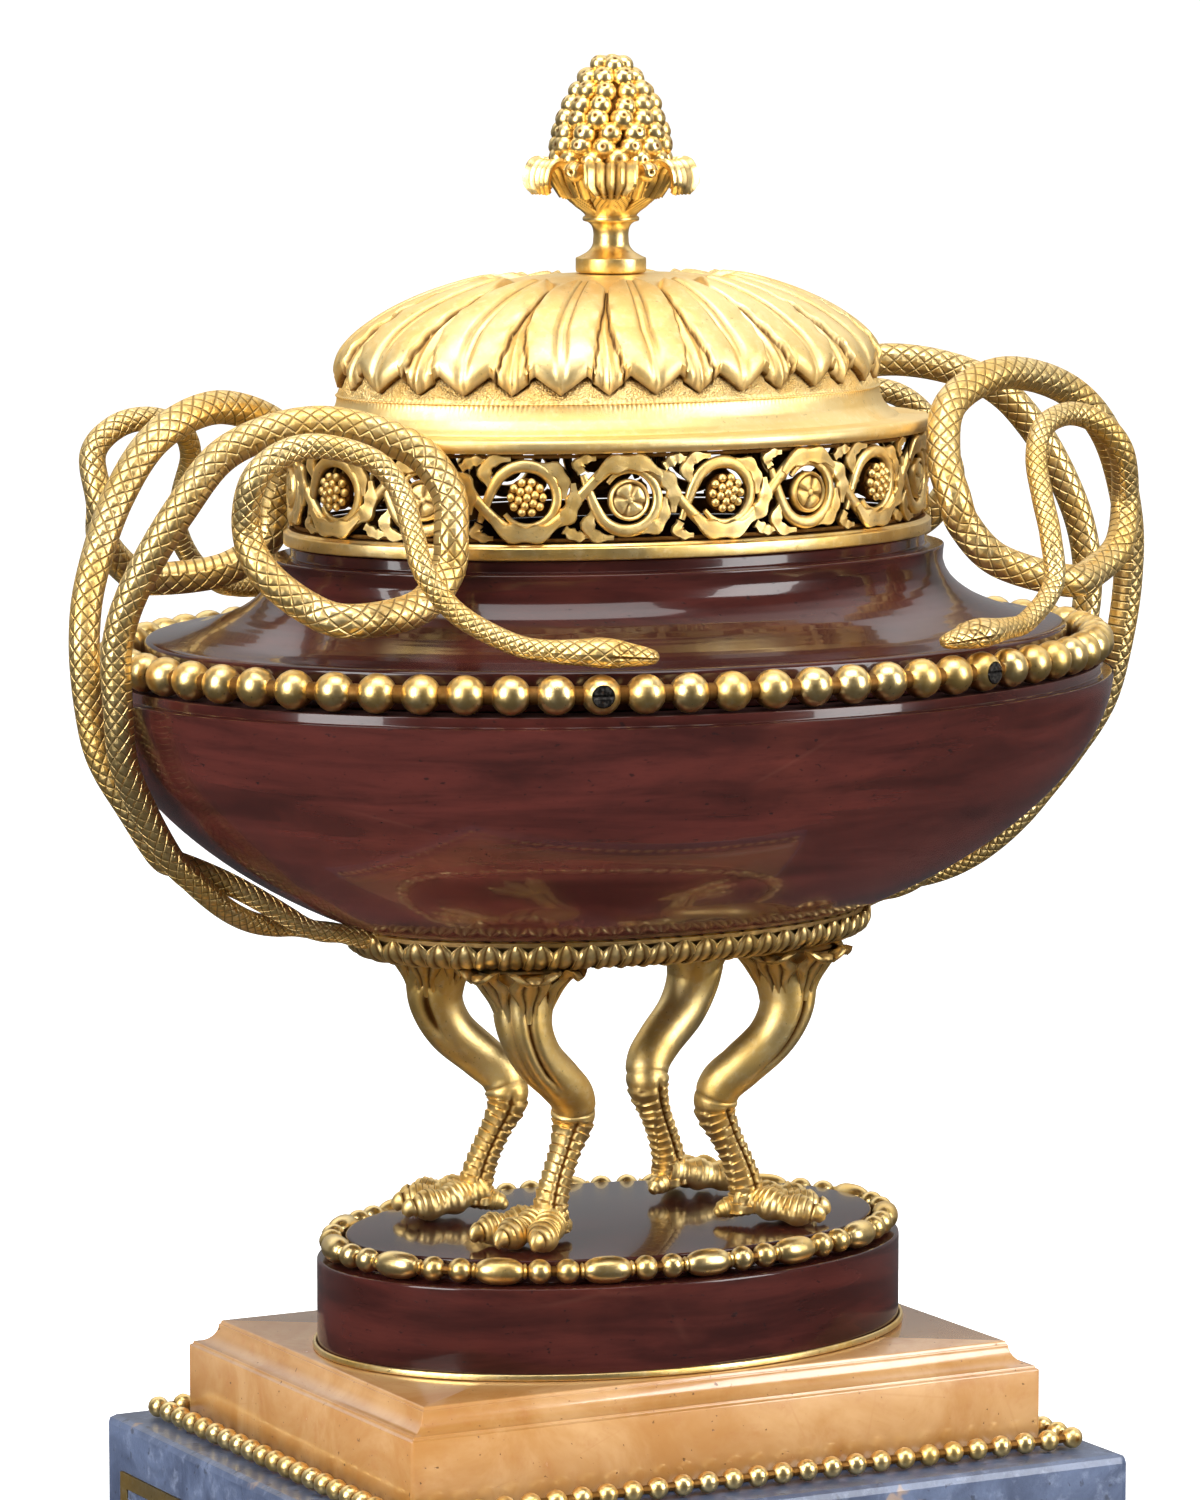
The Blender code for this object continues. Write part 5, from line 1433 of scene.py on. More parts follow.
def leaf_plate(skin, spine, across, half_width, thickness, bend=0.0, ridge=0.0, flutes=2.0, columns=16):
    """A leaf: an oval section carried along a spine, its edges bent back and both sides fluted.

    Each point is the spine, plus the way across times the half width times the cosine, plus the face's
    direction times (half the thickness times the sine, plus the flutes, less the bend times the square
    of the distance across).
    """
    tangent = unit(np.gradient(spine, axis=0))
    across = unit(across - (across * tangent).sum(axis=1, keepdims=True) * tangent)
    face = np.cross(across, tangent)
    angle = 2.0 * math.pi * np.arange(columns)[None, :] / columns
    side = half_width[:, None] * np.cos(angle)
    flute = wave(flutes * np.cos(angle)) * soft_step(np.abs(np.sin(angle)), 0.0, 0.4)
    out = thickness[:, None] / 2.0 * np.sin(angle) + ridge * flute * np.sign(np.sin(angle)) - bend * side**2
    grid = spine[:, None] + across[:, None] * side[..., None] + face[:, None] * out[..., None]
    # painted shade in the troughs of the flutes
    recess = 0.75 * soft_step(-flute, 0.1, 0.9) * (ridge > 0.0)
    skin.add(grid, np.broadcast_to(recess, out.shape))


def upright_leaf(skin, place, outward, path, half_width, thickness, lean=0.0, **shape):
    """A leaf whose spine lies in the upright plane through a place: distances outward and heights.

    The lean tips it about its spine, so that each leaf of a row laps over the next one.
    """
    spine = place + path[:, 0:1] * outward + path[:, 1:2] * np.array((0.0, 0.0, 1.0))
    across = np.broadcast_to((-outward[1], outward[0], lean), spine.shape)
    leaf_plate(skin, spine, across, half_width, thickness, **shape)


class VASE_OT_gallery(bpy.types.Operator):
    """Pierced band of scrolls, sprigs, blossoms and berries"""

    bl_idname = "vase.gallery"
    bl_label = "Scroll gallery"

    def execute(self, context):
        band = Band(0.0028)
        count = sizes().scroll_count
        skin = Skin()
        for number in range(count):
            scroll_unit(skin, band, band.length * (number + 0.5) / count, 1.0 if number % 2 == 0 else -1.0)
        along = band.length * np.arange(220) / 220
        for side in (-1.0, 1.0):
            level = np.full(220, side * (band.half_height - 0.0006))
            bar_along(skin, band.bent(along, level, np.full(220, -0.0006)), 0.0006, 6)
        skin.piece("scroll_gallery_chased", satin_gilt(), "gilt_bronze", ["scroll_gallery"], 60.0)
        return {"FINISHED"}


def lid_depth(length):
    """Half depth of the lid at a half length: less by a constant, and in proportion near the axis."""
    return np.maximum(length - VESSEL_DIFFERENCE, 0.60 * length)


def dome_point(share):
    """Half length and height of the lid's dome, from the leaf tips at 0 to the flat top at 1."""
    length = DOME_TOP + DOME_SPREAD * np.maximum(1.0 - share**1.9, 0.0) ** 0.6
    return length, TIP_HEIGHT + (LID_TOP - TIP_HEIGHT) * share


def leaf_relief(x, t):
    """Height of the overlapping leaves over the dome, and how deep in a furrow each point lies.

    Across one leaf x runs from -0.5 to 0.5 with the large leaf's rib at 0 and the small leaf's at the
    ends; t runs from the tips to the top.  Each large leaf is two rounded cheeks beside a flat rib
    between two furrows, and widens upward until it covers the small one.
    """
    far = np.abs(x)
    edge = 0.285 + 0.185 * np.clip(t / 0.72, 0.0, 1.0) ** 0.8 + 0.014 * wave(6.0 * t) * (1.0 - t)
    large = soft_step(far, edge + 0.014, edge - 0.014)
    across = np.clip(far / edge, 0.0, 1.0)
    rib_edge = 0.034 + 0.046 * t
    furrow = hill(far - rib_edge, 0.026) * (0.25 + 0.75 * soft_step(t, 0.05, 0.50))
    cheek = np.sqrt(np.maximum(1.0 - ((across - 0.58) / 0.50) ** 2, 0.0))
    ripple = wave(6.0 * t + 0.3) * soft_step(across, 0.68, 1.0) * (1.0 - soft_step(t, 0.6, 0.9))
    flat_tip = 0.30 + 0.70 * soft_step(t, 0.0, 0.24)
    high_leaf = 0.0018 + 0.0010 * cheek * flat_tip - 0.0008 * furrow + 0.0004 * ripple
    near = 0.5 - far
    small_reach = np.maximum(0.5 - edge, 0.03)
    small_across = np.clip(near / small_reach, 0.0, 1.0)
    vein = hill(near - 0.060, 0.024) * soft_step(small_reach, 0.08, 0.14)
    low_leaf = 0.0007 + 0.0005 * (1.0 - small_across) + 0.0003 * hill(near, 0.024) - 0.0004 * vein
    height = high_leaf * large + low_leaf * (1.0 - large)
    seam = hill(far - edge - 0.012, 0.018)
    top = 0.95 - 0.09 * across**2
    fade = 1.0 - soft_step(t, top - 0.035, top)
    # painted shade in the seams under the large leaves' edges, in the furrows and in the veins
    dark = np.clip(0.85 * seam + 0.55 * furrow * large + 0.45 * vein * (1.0 - large), 0.0, 1.0)
    return (height - 0.0004 * seam) * fade, dark * fade


class VASE_OT_lid(bpy.types.Operator):
    """Lid with flange, smooth band, ribbed strip and overlapping leaves"""

    bl_idname = "vase.lid"
    bl_label = "Lid"

    def execute(self, context):
        columns = 60 * sizes().lid_leaves
        share = np.arange(columns)[None, :] / columns
        leaf_rows, leaf_dark, punched = lid_leaf_rows(share)
        low_rows, low_dark = lid_low_rows(share)
        angle = even_angles(1.0, 0.68, share)
        lengths, heights = np.concatenate((leaf_rows, low_rows), axis=1)
        grid = np.stack((lengths * np.cos(angle), lid_depth(lengths) * np.sin(angle), heights), axis=-1)
        ground = np.vstack((punched, np.zeros((low_dark.shape[0], 1))))
        wrap = ground[..., None] * np.array((1.0, 0.0, 0.0))
        skin = Skin().add(grid, np.vstack((leaf_dark, low_dark)), wrap)
        skin.piece("lid_leaved", punched_gilt(), "gilt_bronze", ["lid"], 50.0)
        return {"FINISHED"}


def lid_leaf_rows(share):
    """Rows of half lengths and heights from the top down over the leaves to the strip below them.

    The recess and whether a row is punched come after them.
    Each column's last leaf row lies on the zigzag of the tips: the share of the dome grows with the
    distance from a tip.  Under it are a slanted edge, as thick as the plates, and the punched ground.
    """
    x = np.mod(share * sizes().lid_leaves, 1.0) - 0.5
    far = np.abs(x)
    tooth = np.where(far < 0.27, far / 0.27, (0.5 - far) / 0.23)
    start = 0.155 * tooth
    fine = np.linspace(0.0, 1.0, 600)
    lengths, heights = dome_point(fine)
    way = np.concatenate(([0.0], np.cumsum(np.hypot(np.diff(lengths), np.diff(heights)))))
    rows = np.linspace(0.0, 1.0, 50)[:, None]
    first = np.interp(start, fine, way)
    t = np.interp(first + (way[-1] - first) * rows, way, fine)
    length, height = dome_point(t)
    slope_a = np.interp(t, fine, np.gradient(lengths, way))
    slope_z = np.interp(t, fine, np.gradient(heights, way))
    lift, furrow = leaf_relief(x, t)
    length = length + lift * slope_z - LEAF_INSET
    height = height - lift * slope_a
    under_length = np.stack((length[0] - 0.0009, length[0] - 0.0030))
    under_height = np.stack((height[0] - 0.0031, height[0] - 0.0032))
    ground = np.linspace(0.0, 1.0, 5)[1:-1, None]
    ground_height = under_height[1] + (LID_BASE + 0.0132 - under_height[1]) * ground
    ground_length = np.broadcast_to(0.0828 + 0.0018 * ground, ground_height.shape)
    all_lengths = np.vstack((length[::-1], under_length, ground_length))
    all_heights = np.vstack((height[::-1], under_height, ground_height))
    # painted shade on the leaves' slanted undersides and the ground below the tips
    edge_dark = np.array((0.60, 0.80, 0.30, 0.20, 0.20))[:, None]
    dark = np.vstack((furrow[::-1], np.broadcast_to(edge_dark, (5, share.shape[1]))))
    punched = np.arange(len(dark))[:, None] >= len(furrow) + 1
    return np.stack((all_lengths, all_heights)), dark, punched


def lid_low_rows(share):
    """Rows of half lengths and heights of the ribbed strip, the band, the flange and the inside."""
    side = GALLERY_SIDE
    outside = rounded((
        (0.0846, LID_BASE + 0.0132),
        (0.0851, LID_BASE + 0.0130),
        (0.0851, LID_BASE + 0.0126),
        (0.0846, LID_BASE + 0.0125),
        (0.0850, LID_BASE + 0.0108),
        (0.0862, LID_BASE + 0.0080),
        (0.0884, LID_BASE + 0.0058),
        (0.0903, LID_BASE + 0.0046),
        (0.0908, LID_BASE + 0.0041),
        (0.0994, LID_BASE + 0.0040),
        (side, LID_BASE + 0.0032),
        (side, LID_BASE + 0.0012),
        (side - 0.0008, LID_BASE),
    ), 0.0006, 2)
    inside = rounded((
        (0.0875, LID_BASE),
        (0.0783, LID_BASE + 0.0110),
        (0.0550, LID_BASE + 0.0354),
        (0.0400, LID_TOP - 0.0030),
        (0.0100, LID_TOP - 0.0030),
    ), 0.0006, 2)
    ribbed = soft_step(outside[:, 1:2], LID_BASE + 0.0112, LID_BASE + 0.0116)
    rib = wave(share * 320.0)
    lengths = np.vstack((outside[:, 0:1] + 0.00016 * ribbed * rib, inside[:, 0:1] + 0.0 * rib))
    heights = np.vstack((outside, inside))[:, 1:2] + 0.0 * rib
    # painted shade in the grooves between the ribs
    dark = np.vstack((0.22 * ribbed * (1.0 - rib), 0.0 * inside[:, 0:1] + 0.0 * rib))
    return np.stack((lengths, heights)), dark


class VASE_OT_finial(bpy.types.Operator):
    """Finial with a turned foot, a leaf calyx and a cone of berries"""

    bl_idname = "vase.finial"
    bl_label = "Finial"

    def execute(self, context):
        skin = Skin()
        finial_foot(skin)
        finial_calyx(skin)
        berries(skin, FINIAL_BASE + 0.0318, FINIAL_TOP)
        skin.piece("finial_berries", gilt(), "gilt_bronze", ["finial"], 50.0)
        return {"FINISHED"}


def finial_foot(skin):
    """The turned foot, whose upper part swells into a cup of leaves with ribs and slanted veins."""
    base = FINIAL_BASE
    profile = rounded(FINIAL_FOOT, 0.0009, 3) + np.array((0.0, base))
    share = np.arange(168)[None, :] / 168
    far = np.abs(np.mod(share * sizes().calyx_leaves, 1.0) - 0.5)
    leafy = soft_step(profile[:, 1:2], base + 0.0168, base + 0.0200)
    seam = hill(far - 0.5, 0.05)
    rib = hill(far, 0.05)
    vein = wave(profile[:, 1:2] / 0.0017 + 7.0 * far) * soft_step(far, 0.05, 0.09)
    out = leafy * (0.0006 * rib - 0.0012 * seam + 0.00022 * vein)
    # painted shade in the seams between the leaves and the troughs of their veins, and a little over the
    # whole leaf cup
    dark = np.clip(leafy * (0.15 + 0.75 * seam + 0.45 * soft_step(-vein, 0.0, 1.0)), 0.0, 1.0)
    angle = 2.0 * math.pi * (share - 0.5 / sizes().calyx_leaves) + CALYX_TURN
    radius = profile[:, 0:1] + out
    height = profile[:, 1:2] + 0.0 * out
    skin.add(np.stack((radius * np.cos(angle), radius * np.sin(angle), height), axis=-1), dark)


def finial_calyx(skin):
    """Broad fluted leaves whose ends curl over, and narrow ones between them that carry drilled balls."""
    base = FINIAL_BASE
    count = sizes().calyx_leaves
    path = smooth_curve((
        (0.0140, base + 0.0222),
        (0.0166, base + 0.0262),
        (0.0184, base + 0.0296),
        (0.0203, base + 0.0314),
        (0.0222, base + 0.0309),
        (0.0235, base + 0.0285),
        (0.0236, base + 0.0256),
        (0.0227, base + 0.0236),
    ), 32, 2)
    along = np.linspace(0.0, 1.0, 32)
    width = 0.0050 + 0.0028 * soft_step(along, 0.2, 0.6) - 0.0026 * soft_step(along, 0.85, 1.0)
    thick = 0.0017 + 0.0008 * hill(along - 0.6, 0.2)
    middle = np.zeros(3)
    turns = CALYX_TURN + 2.0 * math.pi * np.arange(2 * count) / (2 * count)
    outward = np.column_stack((np.cos(turns), np.sin(turns), np.zeros(2 * count)))
    wide_shape = {"bend": 26.0, "ridge": 0.0006, "flutes": 2.5, "columns": 32}
    slim_path, slim_width = path[:22], np.full(22, 0.0024)
    for broad, slim in zip(outward[::2], outward[1::2]):
        upright_leaf(skin, middle, broad, path, width, thick, **wide_shape)
        upright_leaf(skin, middle, slim, slim_path, slim_width, thick[:22], bend=20.0, ridge=0.0003)
    balls = outward[1::2] * 0.0208 + np.array((0.0, 0.0, base + 0.0298))
    small_balls(skin, balls, np.full(count, 0.0029), 12, 16, outward[1::2], 0.35)


def berries(skin, start, stop):
    """Berries in staggered rings on a cone, a little uneven, each with a small drilled hole."""
    counts = (13, 13, 12, 12, 11, 10, 8, 5)
    reaches = (0.0148, 0.0149, 0.0142, 0.0130, 0.0115, 0.0096, 0.0071, 0.0036)
    drop = np.random.default_rng(7)
    levels = np.linspace(start + 0.0012, stop - 0.0034, len(counts))
    tilts = np.linspace(0.15, 1.3, len(counts)) ** 1.4
    for row, count in enumerate(counts):
        uneven = drop.uniform(-1.0, 1.0, (count, 3))
        turn = 2.0 * math.pi * (np.arange(count) + 0.5 * (row % 2) + 0.06 * uneven[:, 2]) / count
        round_about = np.column_stack((np.cos(turn), np.sin(turn)))
        level = levels[row] + 0.0004 * uneven[:, 0]
        centres = np.column_stack((reaches[row] * round_about, level))
        aim = np.column_stack((round_about, np.full(count, tilts[row])))
        radii = (0.00362 - 0.00060 * row / len(counts)) * (1.0 + 0.06 * uneven[:, 1])
        small_balls(skin, centres, radii, 10, 12, aim, 0.12)
    top = np.array(((0.0003, 0.0, stop - 0.0022),))
    small_balls(skin, top, np.array((0.0022,)), 12, 14, None, 0.12)
    # painted shade: a dark ring at the core of each row of berries, where only shade lies between them
    core = np.column_stack((np.array(reaches) - 0.0006, levels))
    angle = 2.0 * math.pi * np.arange(36)[None, :] / 36
    rings = core[:, 0:1, None] * np.stack((np.cos(angle), np.sin(angle)), axis=-1)
    level = np.broadcast_to(core[:, 1, None, None], (len(core), 36, 1))
    skin.add(np.concatenate((rings, level), axis=-1), 1.0)


class VASE_OT_cup(bpy.types.Operator):
    """Leaf cup under the bowl"""

    bl_idname = "vase.cup"
    bl_label = "Leaf cup"

    def execute(self, context):
        skin = Skin()
        cup_dish(skin)
        cup_leaves(skin)
        skin.piece("leaf_cup_chased", satin_gilt(), "gilt_bronze", ["leaf_cup"], 50.0)
        return {"FINISHED"}


def cup_dish(skin):
    """The dish: its hollow follows the bowl's underside and its own underside is flat."""
    rim = half("leaf_cup") - 0.0040
    inner = np.linspace(0.052, rim, 12)
    share = np.linspace(0.0, 1.0, 400)
    depth = BOWL_TOP - sizes().ledge_depth - BOWL_BASE
    under = np.interp(inner, bowl_length(share), BOWL_BASE + depth * share)
    profile = np.vstack((
        (0.0010, BOWL_BASE - 0.0003),
        np.column_stack((inner, under - 0.0004)),
        (rim + 0.0002, under[-1] - 0.0016),
        (rim - 0.0030, CUP_BASE + 0.0040),
        (rim - 0.0070, CUP_BASE + 0.0010),
        (rim - 0.0110, CUP_BASE),
        (0.0010, CUP_BASE),
    ))
    # painted shade: the dish under the leaves is marked as recess
    skin.add(turned(profile, 180, vessel_depth), 0.60)


def cup_leaves(skin):
    """A row of rounded leaf ends under the dish's rim and a row of tips, each lapping over the next."""
    count = sizes().cup_folds
    base = half("leaf_cup") - 0.0058
    lobe = smooth_curve((
        (-0.0125, 0.0010),
        (-0.0065, 0.0009),
        (-0.0015, 0.0014),
        (0.0022, 0.0030),
        (0.0036, 0.0054),
        (0.0034, 0.0080),
    ), 14, 2)
    tip = smooth_curve(((-0.0020, 0.0064), (0.0008, 0.0086), (0.0028, 0.0106), (0.0034, 0.0124)), 10, 2)
    along = np.linspace(0.0, 1.0, 14)
    lobe_width = 0.0060 * (0.7 + 0.3 * along) * np.sqrt(np.maximum(1.0 - along**5, 0.04))
    tip_width = 0.0048 * (1.0 - np.linspace(0.0, 0.93, 10) ** 2)
    for start, path, width, thick, shape in (
        (0.0, lobe, lobe_width, np.full(14, 0.0012), {"lean": 0.14, "ridge": 0.0003, "flutes": 1.5}),
        (0.5, tip, tip_width, np.full(10, 0.0010), {"lean": 0.14, "columns": 10}),
    ):
        flat, out = on_oval(base, base - VESSEL_DIFFERENCE, (np.arange(count) + start) / count)
        places = np.column_stack((flat, np.full(count, CUP_BASE)))
        outward = np.column_stack((out, np.zeros(count)))
        for place, direction in zip(places, outward):
            upright_leaf(skin, place, direction, path, width, thick, **shape)


class VASE_OT_legs(bpy.types.Operator):
    """Four bird's legs"""

    bl_idname = "vase.legs"
    bl_label = "Legs"

    def execute(self, context):
        for side_x in (-1, 1):
            for side_y in (-1, 1):
                leg(side_x, side_y)
        return {"FINISHED"}


def leg(side_x, side_y):
    """A bent tube with its relief, a collar of leaves on top, three toes and a spur, in one corner."""
    height = LEG_TOP - LEG_BASE
    rows = np.array(LEG_STATIONS)
    stations = np.column_stack((
        LEG_SPREAD + rows[:, 1],
        LEG_SET_APART + rows[:, 2],
        LEG_BASE + rows[:, 0] * height,
        rows[:, 3],
    ))
    route = smooth_curve(stations, 180)
    points = route[:, :3]
    share = ((points[:, 2] - LEG_BASE) / height)[:, None]
    columns = 52
    angle = 2.0 * math.pi * np.arange(columns)[None, :] / columns
    way = np.concatenate(([0.0], np.cumsum(np.linalg.norm(np.diff(points, axis=0), axis=1))))[:, None]
    move, recess = leg_relief(share, angle, way)
    outward = np.broadcast_to((1.0, 0.0, 0.0), points.shape)
    grid = swept(points, outward, route[:, 3:4] + move, route[:, 3:4] + move, columns)
    grid[..., 2] = np.clip(grid[..., 2], LEG_BASE + 0.0002, LEG_TOP)
    skin = Skin().add(grid, recess)
    leg_collar(skin, route, share[:, 0])
    for splay in (-1.0, 0.0, 1.0):
        toe(skin, splay)
    spur(skin)
    skin.points = [points * (side_x, side_y, 1.0) for points in skin.points]
    if side_x * side_y < 0:
        skin.faces = [face[::-1] for face in skin.faces]
    name = "leg_" + corner_name(side_x, side_y)
    skin.piece(name + "_cast", satin_gilt(), "gilt_bronze", [name], 55.0)


def leg_relief(share, angle, way):
    """How far the leg's surface moves outward, and how deep in a furrow each point lies.

    Scutes are a saw wave along the shank in two rows parted by furrows.  The thigh has two long
    creases, and a slit under a fork.
    """
    shank = soft_step(share, 0.455, 0.415)
    saw = np.mod(way / 0.0027 + 0.12 * wave(angle / math.pi), 1.0)
    seam = hill(np.sin(angle) - 0.25, 0.15) * soft_step(np.abs(np.cos(angle)), 0.3, 0.7)
    scutes = shank * (0.0008 * (saw - 0.5) * (1.0 - seam) - 0.0010 * seam)
    thigh = soft_step(share, 0.56, 0.66) * (1.0 - soft_step(share, 0.90, 0.97))
    crease = thigh * (hill(angle - math.radians(14.0), 0.13) + 0.6 * hill(angle - math.radians(54.0), 0.15))
    aside = np.abs(angle - math.radians(132.0))
    slit = hill(share - 0.77, 0.075) * hill(aside, 0.17)
    fork = hill(share - 0.885 + 0.09 * aside, 0.016) * hill(aside, 0.45)
    stem = hill(aside, 0.08) * soft_step(share, 0.87, 0.89) * (1.0 - soft_step(share, 0.93, 0.95))
    cut = np.maximum(slit, np.maximum(fork, stem))
    knee = 0.0005 * hill(share - 0.44, 0.03) * soft_step(np.sin(angle), 0.0, 1.0)
    ring = 0.0004 * hill(share - 0.465, 0.006)
    move = scutes - 0.0015 * crease - 0.0021 * cut + knee - ring
    step = 0.75 * hill(saw, 0.14) + 0.5 * hill(saw - 1.0, 0.09)
    # painted shade in the scutes' steps, the seam, the creases and the slit
    recess = shank * (0.85 * seam + step) + 0.90 * crease + 1.2 * cut + 0.4 * hill(share - 0.465, 0.008)
    return move, np.clip(recess, 0.0, 1.0)


def leg_collar(skin, route, share):
    """Leaves round the top of a leg: each rises along it, swings outward and curls over at its end."""
    count = 6
    u = np.linspace(0.0, 1.0, 16)
    level = 0.815 + 0.170 * np.sin(np.minimum(u / 0.86, 1.0) * math.pi / 2.0)
    centre = np.column_stack([np.interp(level, share, route[:, axis]) for axis in range(4)])
    centre[:, 2] -= 0.0014 * hill(u - 1.0, 0.10)
    swing = centre[:, 3] - 0.0016 + 0.0015 * soft_step(u, 0.0, 0.40) + 0.0060 * u**1.7
    rounding = np.sqrt(np.maximum(1.0 - u**9, 0.2))
    width = (0.0022 + 0.0062 * u**0.8) * (1.0 + 0.20 * wave(2.4 * u)) * rounding
    thick = 0.0019 - 0.0006 * u
    for number in range(count):
        turn = math.radians(14.0) + 2.0 * math.pi * number / count
        out = np.array((math.sin(turn), math.cos(turn), 0.0))
        spine = centre[:, :3] + swing[:, None] * out
        across = np.broadcast_to((-out[1], out[0], 0.0), spine.shape)
        leaf_plate(skin, spine, across, width, thick, bend=38.0, ridge=0.0005, flutes=1.5, columns=26)


def foot_point(forward, aside, rise, radius):
    """A point of the foot, from the ankle forward along the foot and across it, and a radius."""
    turn = math.radians(FOOT_TURN)
    out = forward * math.cos(turn) - aside * math.sin(turn)
    apart = forward * math.sin(turn) + aside * math.cos(turn)
    return (LEG_SPREAD + out, LEG_SET_APART + apart, LEG_BASE + rise, radius)


def toe(skin, splay):
    """A knuckled toe: a tube whose half height swells at three knuckles, wrinkled, with a bent claw."""
    reach = 0.0225 * (1.0 - 0.12 * abs(splay))
    side = 0.0110 * splay
    path = smooth_curve((
        foot_point(-0.0030, 0.0, 0.0076, 0.0044),
        foot_point(0.20 * reach, 0.40 * side, 0.0062, 0.0044),
        foot_point(0.50 * reach, 0.72 * side, 0.0050, 0.0044),
        foot_point(0.78 * reach, 0.92 * side, 0.0045, 0.0041),
        foot_point(0.94 * reach, side, 0.0038, 0.0030),
        foot_point(1.02 * reach, 1.02 * side, 0.0018, 0.0012),
    ), 72)
    columns = 22
    share = np.linspace(0.0, 1.0, 72)[:, None]
    angle = 2.0 * math.pi * np.arange(columns)[None, :] / columns
    saw = np.mod(share * 14.0, 1.0)
    claw = soft_step(share, 0.84, 0.88)
    over = soft_step(np.sin(angle), -0.4, 0.2)
    quick = 0.0007 * hill(share - 0.85, 0.014)
    knuckle = 0.0006 * wave(share * 3.0 - 0.10)
    wrinkled = (1.0 - claw) * (knuckle + over * 0.0006 * (saw - 0.5))
    move = wrinkled - quick - 0.0004 * claw * np.abs(np.cos(angle))
    upward = np.broadcast_to((0.0, 0.0, 1.0), (72, 3))
    thick = path[:, 3:4]
    grid = swept(path[:, :3], upward, thick * (0.98 - 0.15 * claw) + move, thick + move, columns)
    grid[..., 2] = np.maximum(grid[..., 2], LEG_BASE + 0.0002)
    # painted shade in the wrinkles and where the claw meets the toe
    recess = np.clip((1.0 - claw) * over * 0.8 * hill(saw, 0.16) + 900.0 * quick, 0.0, 1.0)
    skin.add(grid, recess)


def spur(skin):
    """The short hind toe with its claw."""
    path = smooth_curve((
        foot_point(0.0020, 0.0, 0.0058, 0.0036),
        foot_point(-0.0045, 0.0, 0.0046, 0.0034),
        foot_point(-0.0080, 0.0, 0.0036, 0.0028),
        foot_point(-0.0105, 0.0, 0.0020, 0.0011),
    ), 34)
    share = np.linspace(0.0, 1.0, 34)[:, None]
    saw = np.mod(share * 7.0, 1.0)
    move = 0.0004 * (saw - 0.5) + np.zeros((34, 20))
    upward = np.broadcast_to((0.0, 0.0, 1.0), (34, 3))
    grid = swept(path[:, :3], upward, path[:, 3:4] + move, path[:, 3:4] + move, 20)
    grid[..., 2] = np.maximum(grid[..., 2], LEG_BASE + 0.0002)
    # painted shade in the wrinkles
    skin.add(grid, 0.7 * hill(saw, 0.15))


class VaseSizes(bpy.types.PropertyGroup):
    """Sizes of the visible pieces that a user may change."""

    belt_bead: FloatProperty(
        name="Belt bead", description="Diameter of a bead of the belt", default=0.0113, unit="LENGTH"
    )
    belt_count: IntProperty(name="Belt beads", description="Number of beads in the belt", default=68)
    olive_count: IntProperty(name="Olives", description="Number of olives round the plinth", default=15)
    scroll_count: IntProperty(name="Scrolls", description="Number of scrolls round the gallery", default=18)
    lid_leaves: IntProperty(name="Lid leaves", description="Number of large leaves on the lid", default=16)
    calyx_leaves: IntProperty(name="Calyx leaves", description="Number of curled leaves", default=6)
    cup_folds: IntProperty(name="Cup folds", description="Number of leaf ends round the cup", default=58)
    blossom: FloatProperty(
        name="Blossom", description="Diameter of a blossom in the gallery", default=0.0118, unit="LENGTH"
    )
    ledge_width: FloatProperty(
        name="Ledge width", description="Width of the ledge under the beads", default=0.0037, unit="LENGTH"
    )
    ledge_depth: FloatProperty(
        name="Ledge depth", description="Depth of the ledge under the beads", default=0.0030, unit="LENGTH"
    )
    slab_moulding: FloatProperty(
        name="Slab moulding", description="Height of the slab's moulded edge", default=0.0080, unit="LENGTH"
    )
    slab_inset: FloatProperty(
        name="Slab inset", description="How far the slab's moulding goes in", default=0.0080, unit="LENGTH"
    )
    table_rise: FloatProperty(
        name="Table rise", description="Height of the plinth's raised table", default=0.0067, unit="LENGTH"
    )
    table_inset: FloatProperty(
        name="Table inset", description="From plinth's edge to table", default=0.0084, unit="LENGTH"
    )


def tint(name, description, colour):
    """A colour property."""
    return FloatVectorProperty(
        name=name, description=description, default=colour, size=3, min=0.0, max=1.0, subtype="COLOR"
    )


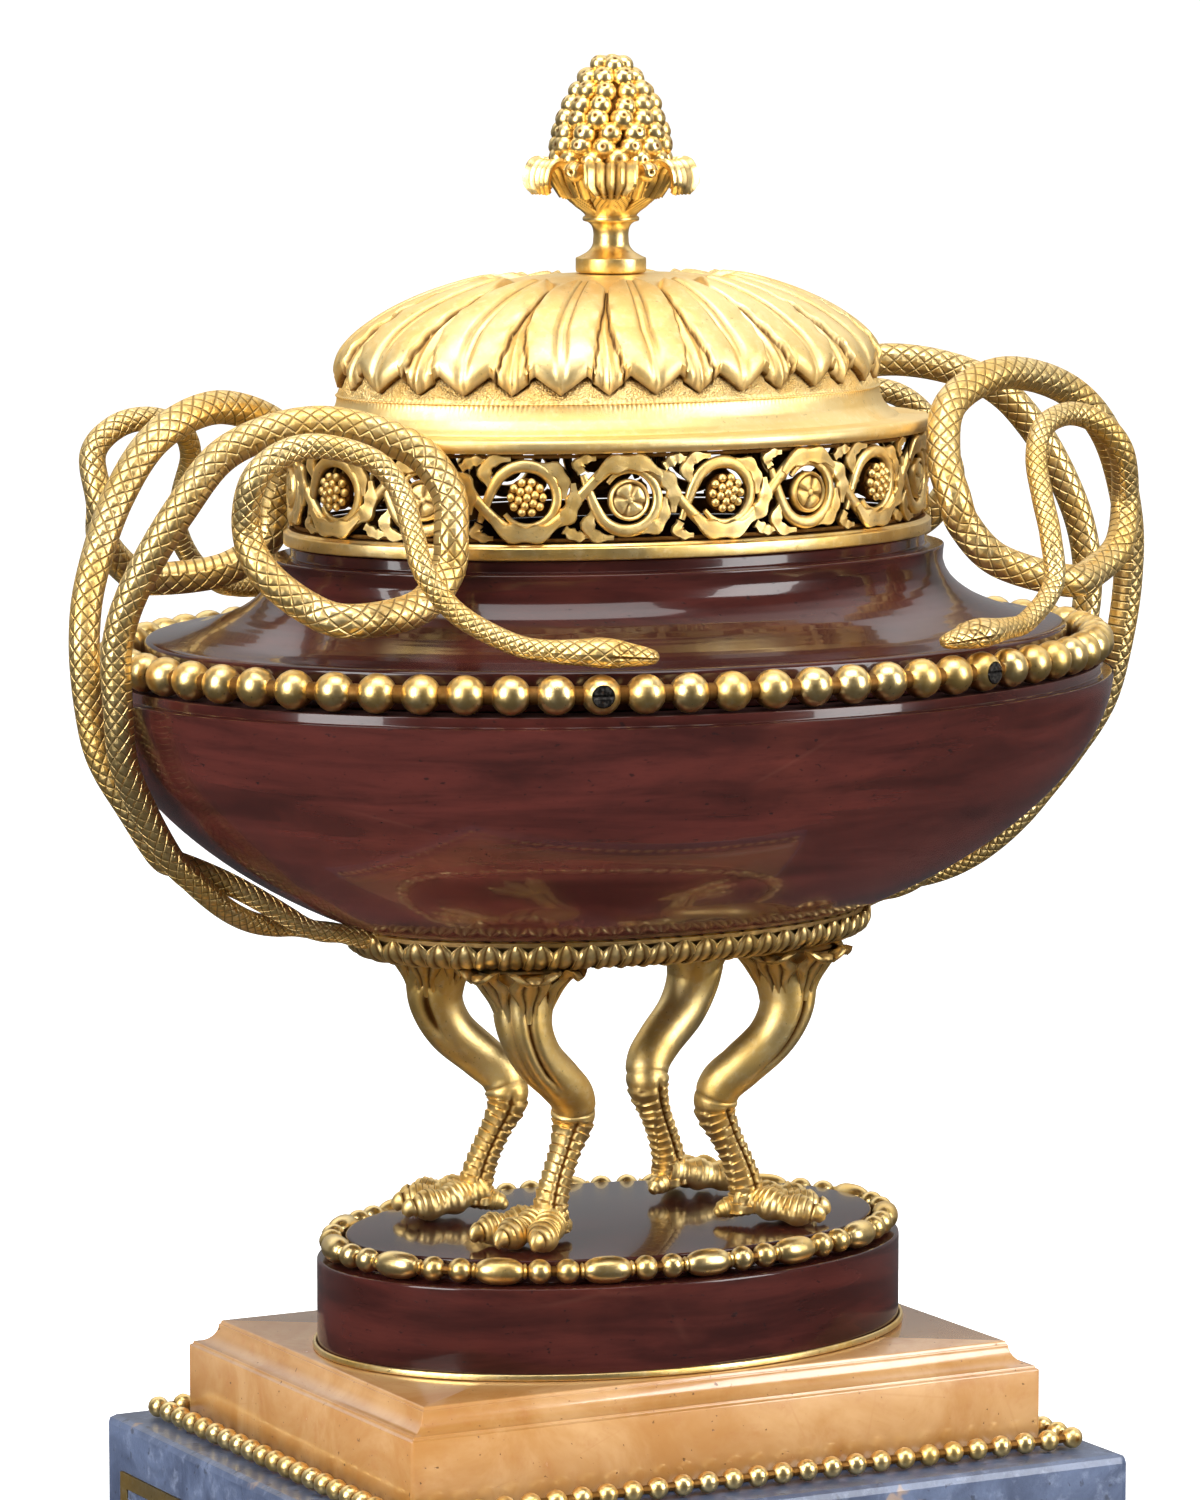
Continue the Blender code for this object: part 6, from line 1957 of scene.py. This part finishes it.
class VaseColours(bpy.types.PropertyGroup):
    """Colours of the finishes that a user may change."""

    gilt: tint("Gilt", "Burnished gilding", (0.94, 0.70, 0.30))
    gilt_deep: tint("Deep gilt", "Matt gilding", (0.84, 0.56, 0.17))
    gilt_pale: tint("Pale gilt", "Rubbed gilding", (1.0, 0.86, 0.54))
    # patina colour, also used as painted shade in the recesses and the scale grooves
    patina_and_shade: tint("Patina", "Brown in the recesses", (0.16, 0.065, 0.012))
    red: tint("Red marble", "Body of the red marble", (0.058, 0.013, 0.010))
    red_dark: tint("Dark red marble", "Streaks of the red marble", (0.022, 0.006, 0.005))
    red_light: tint("Light red marble", "Clouds of the red marble", (0.095, 0.022, 0.014))
    red_vein: tint("Red marble vein", "Thin veins of the red marble", (0.34, 0.15, 0.10))
    yellow: tint("Yellow marble", "Body of the yellow marble", (0.37, 0.170, 0.044))
    yellow_pale: tint("Pale yellow marble", "Clouds of the yellow marble", (0.50, 0.29, 0.120))
    yellow_deep: tint("Deep yellow marble", "Veins of the yellow marble", (0.34, 0.12, 0.03))
    blue: tint("Blue marble", "Body of the blue marble", (0.088, 0.118, 0.20))
    blue_dark: tint("Dark blue marble", "Slate clouds of the blue marble", (0.038, 0.053, 0.10))
    blue_pale: tint("Pale blue marble", "Pale grains of the blue marble", (0.20, 0.24, 0.34))


OPERATORS = (
    VASE_OT_stage,
    VASE_OT_stones,
    VASE_OT_beads,
    VASE_OT_serpents,
    VASE_OT_ring,
    VASE_OT_gallery,
    VASE_OT_lid,
    VASE_OT_finial,
    VASE_OT_cup,
    VASE_OT_legs,
)


class VASE_PT_panel(bpy.types.Panel):
    """The vase's pieces in the sidebar"""

    bl_label = "Vase"
    bl_idname = "VASE_PT_panel"
    bl_space_type = "VIEW_3D"
    bl_region_type = "UI"
    bl_category = "Vase"

    def draw(self, context):
        for operator in OPERATORS:
            self.layout.operator(operator.bl_idname)


CLASSES = (VaseSizes, VaseColours, *OPERATORS, VASE_PT_panel)


def register():
    """Register the classes and the scene's properties."""
    for kind in CLASSES:
        bpy.utils.register_class(kind)
    bpy.types.Scene.vase_sizes = PointerProperty(type=VaseSizes)
    bpy.types.Scene.vase_colours = PointerProperty(type=VaseColours)


def unregister():
    """Undo what register did."""
    del bpy.types.Scene.vase_colours
    del bpy.types.Scene.vase_sizes
    for kind in reversed(CLASSES):
        bpy.utils.unregister_class(kind)


def main():
    """Build every piece and the stage."""
    register()
    for operator in OPERATORS:
        family, action = operator.bl_idname.split(".")
        getattr(getattr(bpy.ops, family), action)()
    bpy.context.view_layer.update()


if __name__ == "__main__":
    main()
